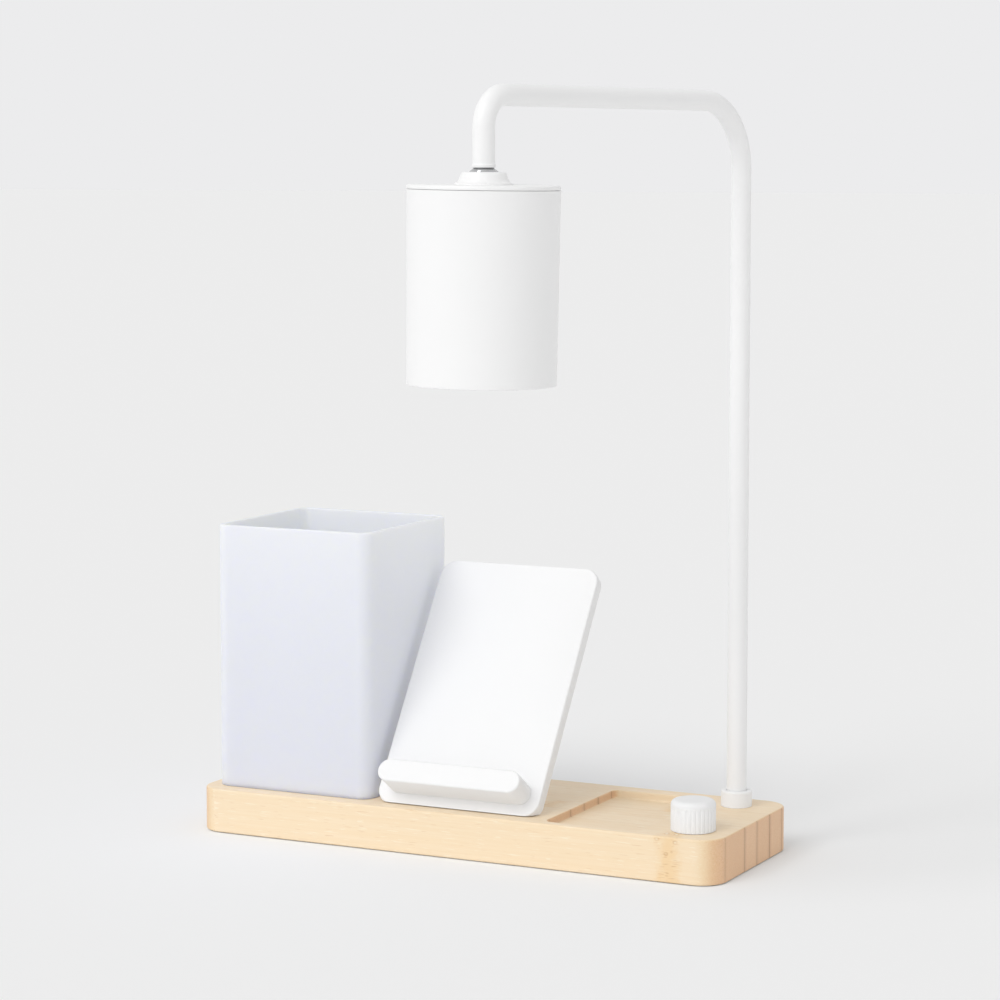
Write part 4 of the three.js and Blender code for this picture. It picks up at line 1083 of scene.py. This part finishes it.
def swivel_cover():
    """The white housing that holds the ball, from the sleeve through the cap to its round shoulder."""
    outside = eased(
        (SEAT_RADIUS, HOUSING_BOTTOM, 0), (HOUSING_SLEEVE, HOUSING_BOTTOM, HOUSING_SLEEVE_EDGE),
        (HOUSING_SLEEVE, CAP_TOP, 0), (HOUSING_FLANGE, CAP_TOP, 0),
        (HOUSING_FLANGE, HOUSING_FLANGE_TOP, HOUSING_FLANGE_EDGE), (*HOUSING_WAIST, HOUSING_WAIST_ROUND),
        (HOUSING_SHOULDER, HOUSING_TOP, HOUSING_SHOULDER_EDGE),
        (SEAT_RADIUS * np.cos(np.arcsin(HOUSING_TOP / SEAT_RADIUS)), HOUSING_TOP, 0),
    )
    seat = ball_arc(SEAT_RADIUS, np.arcsin(HOUSING_TOP / SEAT_RADIUS), 0)[1:]
    shade_form(np.concatenate([outside, seat])).piece("swivel_cover", "shade", "swivel_housing")


def shade_lid():
    """The shade's flat top with the spigot that centres it in the drum."""
    profile = eased(
        (CAP_HOLE, CAP_BOTTOM, 0), (CAP_SPIGOT - CAP_SPIGOT_WALL, CAP_BOTTOM, 0),
        (CAP_SPIGOT - CAP_SPIGOT_WALL, CAP_SPIGOT_BOTTOM, 0), (CAP_SPIGOT, CAP_SPIGOT_BOTTOM, 0),
        (CAP_SPIGOT, CAP_BOTTOM, 0), (SHADE_RADIUS, CAP_BOTTOM, CAP_SEAM_EDGE),
        (SHADE_RADIUS, CAP_TOP, CAP_EDGE), (CAP_HOLE, CAP_TOP, 0), closed=True,
    )
    shade_form(profile).piece("shade_lid", "shade", "shade_cap")


def shade_drum():
    """The drum, a thin wall that narrows a little towards its mouth."""
    profile = eased(
        (SHADE_MOUTH_RADIUS - SHADE_WALL, SHADE_BOTTOM, SHADE_LIP),
        (SHADE_MOUTH_RADIUS, SHADE_BOTTOM, SHADE_LIP), (SHADE_RADIUS, SHADE_TOP, CAP_SEAM_EDGE),
        (SHADE_RADIUS - SHADE_WALL, SHADE_TOP, 0), closed=True,
    )
    shade_form(profile).piece("shade_drum", "shade", "shade_shell")


def opal_disc():
    """The diffuser inside the mouth."""
    profile = eased(
        (0, DIFFUSER_BOTTOM, 0), (DIFFUSER_RADIUS, DIFFUSER_BOTTOM, DIFFUSER_EDGE),
        (DIFFUSER_RADIUS, DIFFUSER_TOP, DIFFUSER_EDGE), (0, DIFFUSER_TOP, 0),
    )
    form = Form(shade_place(), turn_about_y(SHADE_LEAN)).grid(turned(profile))
    form.piece("opal_disc", "shade", "diffuser")


def retaining_ring():
    """The ring that holds the diffuser up."""
    profile = eased(
        (RING_BORE, RING_BOTTOM, RING_EDGE), (DIFFUSER_RADIUS, RING_BOTTOM, RING_EDGE),
        (DIFFUSER_RADIUS, RING_TOP, 0), (RING_BORE, RING_TOP, 0), closed=True,
    )
    shade_form(profile).piece("retaining_ring", "shade", "diffuser_ring")


def lead_gland():
    """The gland in the board's back, turned about its own axis and laid square to the back."""
    profile = eased(
        (GLAND_BORE, GLAND_INNER_END, 0), (GLAND_FLANGE, GLAND_INNER_END, 0),
        (GLAND_FLANGE, GLAND_INNER_FACE, 0), (GLAND_RADIUS, GLAND_INNER_FACE, 0),
        (GLAND_RADIUS, GLAND_OUTER_FACE, 0), (GLAND_FLANGE, GLAND_OUTER_FACE, GLAND_EDGE),
        (GLAND_FLANGE_NOSE, GLAND_OUTER_END, GLAND_EDGE), (GLAND_BORE, GLAND_OUTER_END, GLAND_EDGE),
        closed=True,
    )
    form = Form(GLAND_PLACE, turn_about_x(-TURN / 4)).grid(turned(profile), loop=True)
    form.piece("lead_gland", "base", "cord_gland")


bamboo_board()
foam_pad()
for number in SCREW_NUMBERS:
    cover_screw(number)
square_cup()
phone_stand()
ribbed_knob()
pole_collar()
bent_tube()
swivel_ball()
swivel_cover()
shade_lid()
shade_drum()
opal_disc()
retaining_ring()
lead_gland()


# Floor, light and camera

FLOOR_SIZE = 60
FLOOR_TONE = tone(248, 248, 248)
FLOOR_ROUGHNESS = 0.9
FLOOR_CLEARANCE = 0.1 * MM
BACKGROUND_TONE = tone(236, 236, 237)
FILL_AT_HORIZON = 0.88
FILL_OVERHEAD = 0.55
FILL_FROM = (-0.895, -0.446, 0)
FILL_LEAN = 0.05
KEY_STRENGTH = 1.07
KEY_SPREAD = np.radians(36)
KEY_FROM = (-0.198, -0.691, 0.695)
STRIP_PLACE = (-0.330, -0.178, 1.462)
STRIP_AIM = (0.083, -0.173, 0.334)
STRIP_LENGTH = 0.5
STRIP_DEPTH = 0.25
STRIP_POWER = 1
CAMERA_PLACE = (0.68396, -1.37436, 0.34539)
CAMERA_TURN = np.radians(26.2772)
CAMERA_PITCH = np.radians(5.4159)
CAMERA_LENS = 109.759
CAMERA_SENSOR = 36
CAMERA_SHIFT = -0.05


def pale_floor():
    """A wide plain floor, clear from below and to what rests on it, so that the underside can be seen."""
    half = FLOOR_SIZE / 2
    mesh = bpy.data.meshes.new("floor")
    corners = [(-half, -half, 0), (half, -half, 0), (half, half, 0), (-half, half, 0)]
    mesh.from_pydata(corners, [], [(0, 1, 2, 3)])
    material, tree, shader = shader_of("pale_floor")
    shader.inputs["Base Color"].default_value = FLOOR_TONE
    shader.inputs["Roughness"].default_value = FLOOR_ROUGHNESS
    shader.inputs["Specular IOR Level"].default_value = 0.0
    surface = shader.outputs["BSDF"].links[0].to_socket
    below = tree.node("ShaderNodeNewGeometry").outputs["Backfacing"]
    reach = tree.node("ShaderNodeLightPath").outputs["Ray Length"]
    from_pad = tree.maths("LESS_THAN", reach, FLOOR_CLEARANCE)
    seen = tree.node("ShaderNodeMixShader", Fac=tree.maths("MAXIMUM", below, from_pad))
    clear = tree.node("ShaderNodeBsdfTransparent")
    tree.put(seen.inputs[1], shader.outputs["BSDF"])
    tree.put(seen.inputs[2], clear.outputs["BSDF"])
    tree.put(surface, seen.outputs["Shader"])
    mesh.materials.append(material)
    placed("floor", mesh)


def key_light():
    """A soft light from the front left."""
    key = bpy.data.lights.new("key", "SUN")
    key.energy = KEY_STRENGTH
    key.angle = KEY_SPREAD
    placed("key", key).rotation_euler = Vector(KEY_FROM).to_track_quat("Z", "Y").to_euler()


def gloss_strip():
    """A card of light that only gloss mirrors, as on the ball."""
    strip = bpy.data.lights.new("strip", "AREA")
    strip.shape = "RECTANGLE"
    strip.size = STRIP_LENGTH
    strip.size_y = STRIP_DEPTH
    strip.energy = STRIP_POWER
    made = placed("strip", strip)
    made.location = STRIP_PLACE
    made.rotation_euler = (Vector(STRIP_PLACE) - Vector(STRIP_AIM)).to_track_quat("Z", "Y").to_euler()
    made.visible_camera = False
    made.visible_diffuse = False


def studio():
    """An even light all round, a little brighter at the horizon, and the pale background that is seen."""
    world = bpy.data.worlds.new("studio")
    world.use_nodes = True
    world.node_tree.nodes.clear()
    tree = Tree(world.node_tree)
    rays = tree.node("ShaderNodeLightPath").outputs
    mirrored = tree.maths("MAXIMUM", rays["Is Glossy Ray"], rays["Is Transmission Ray"])
    seen = tree.maths("MAXIMUM", rays["Is Camera Ray"], mirrored)
    heading = tree.node("ShaderNodeTexCoord").outputs["Generated"]
    height = tree.node("ShaderNodeSeparateXYZ", Vector=heading).outputs["Z"]
    level = tree.node("ShaderNodeMapRange", Value=height, To_Min=FILL_AT_HORIZON, To_Max=FILL_OVERHEAD)
    lean = tree.node("ShaderNodeVectorMath", {"operation": "DOT_PRODUCT"})
    tree.put(lean.inputs[0], heading)
    lean.inputs[1].default_value = FILL_FROM
    lean = tree.maths("ADD", tree.maths("MULTIPLY", lean.outputs["Value"], FILL_LEAN), 1.0)
    fill = tree.maths("MULTIPLY", level.outputs["Result"], lean)
    colour = tree.mixed(seen, fill, BACKGROUND_TONE)
    light = tree.node("ShaderNodeBackground", Color=colour, Strength=1.0)
    tree.node("ShaderNodeOutputWorld", Surface=light.outputs["Background"])
    bpy.context.scene.world = world


def viewpoint():
    """The camera, where the photograph was taken from."""
    lens = bpy.data.cameras.new("camera")
    lens.lens = CAMERA_LENS
    lens.sensor_width = CAMERA_SENSOR
    lens.shift_y = CAMERA_SHIFT
    made = placed("camera", lens)
    made.location = CAMERA_PLACE
    made.rotation_euler = (TURN / 4 - CAMERA_PITCH, 0, CAMERA_TURN)
    bpy.context.scene.camera = made


pale_floor()
key_light()
gloss_strip()
studio()
viewpoint()
bpy.context.scene.view_settings.view_transform = "Standard"
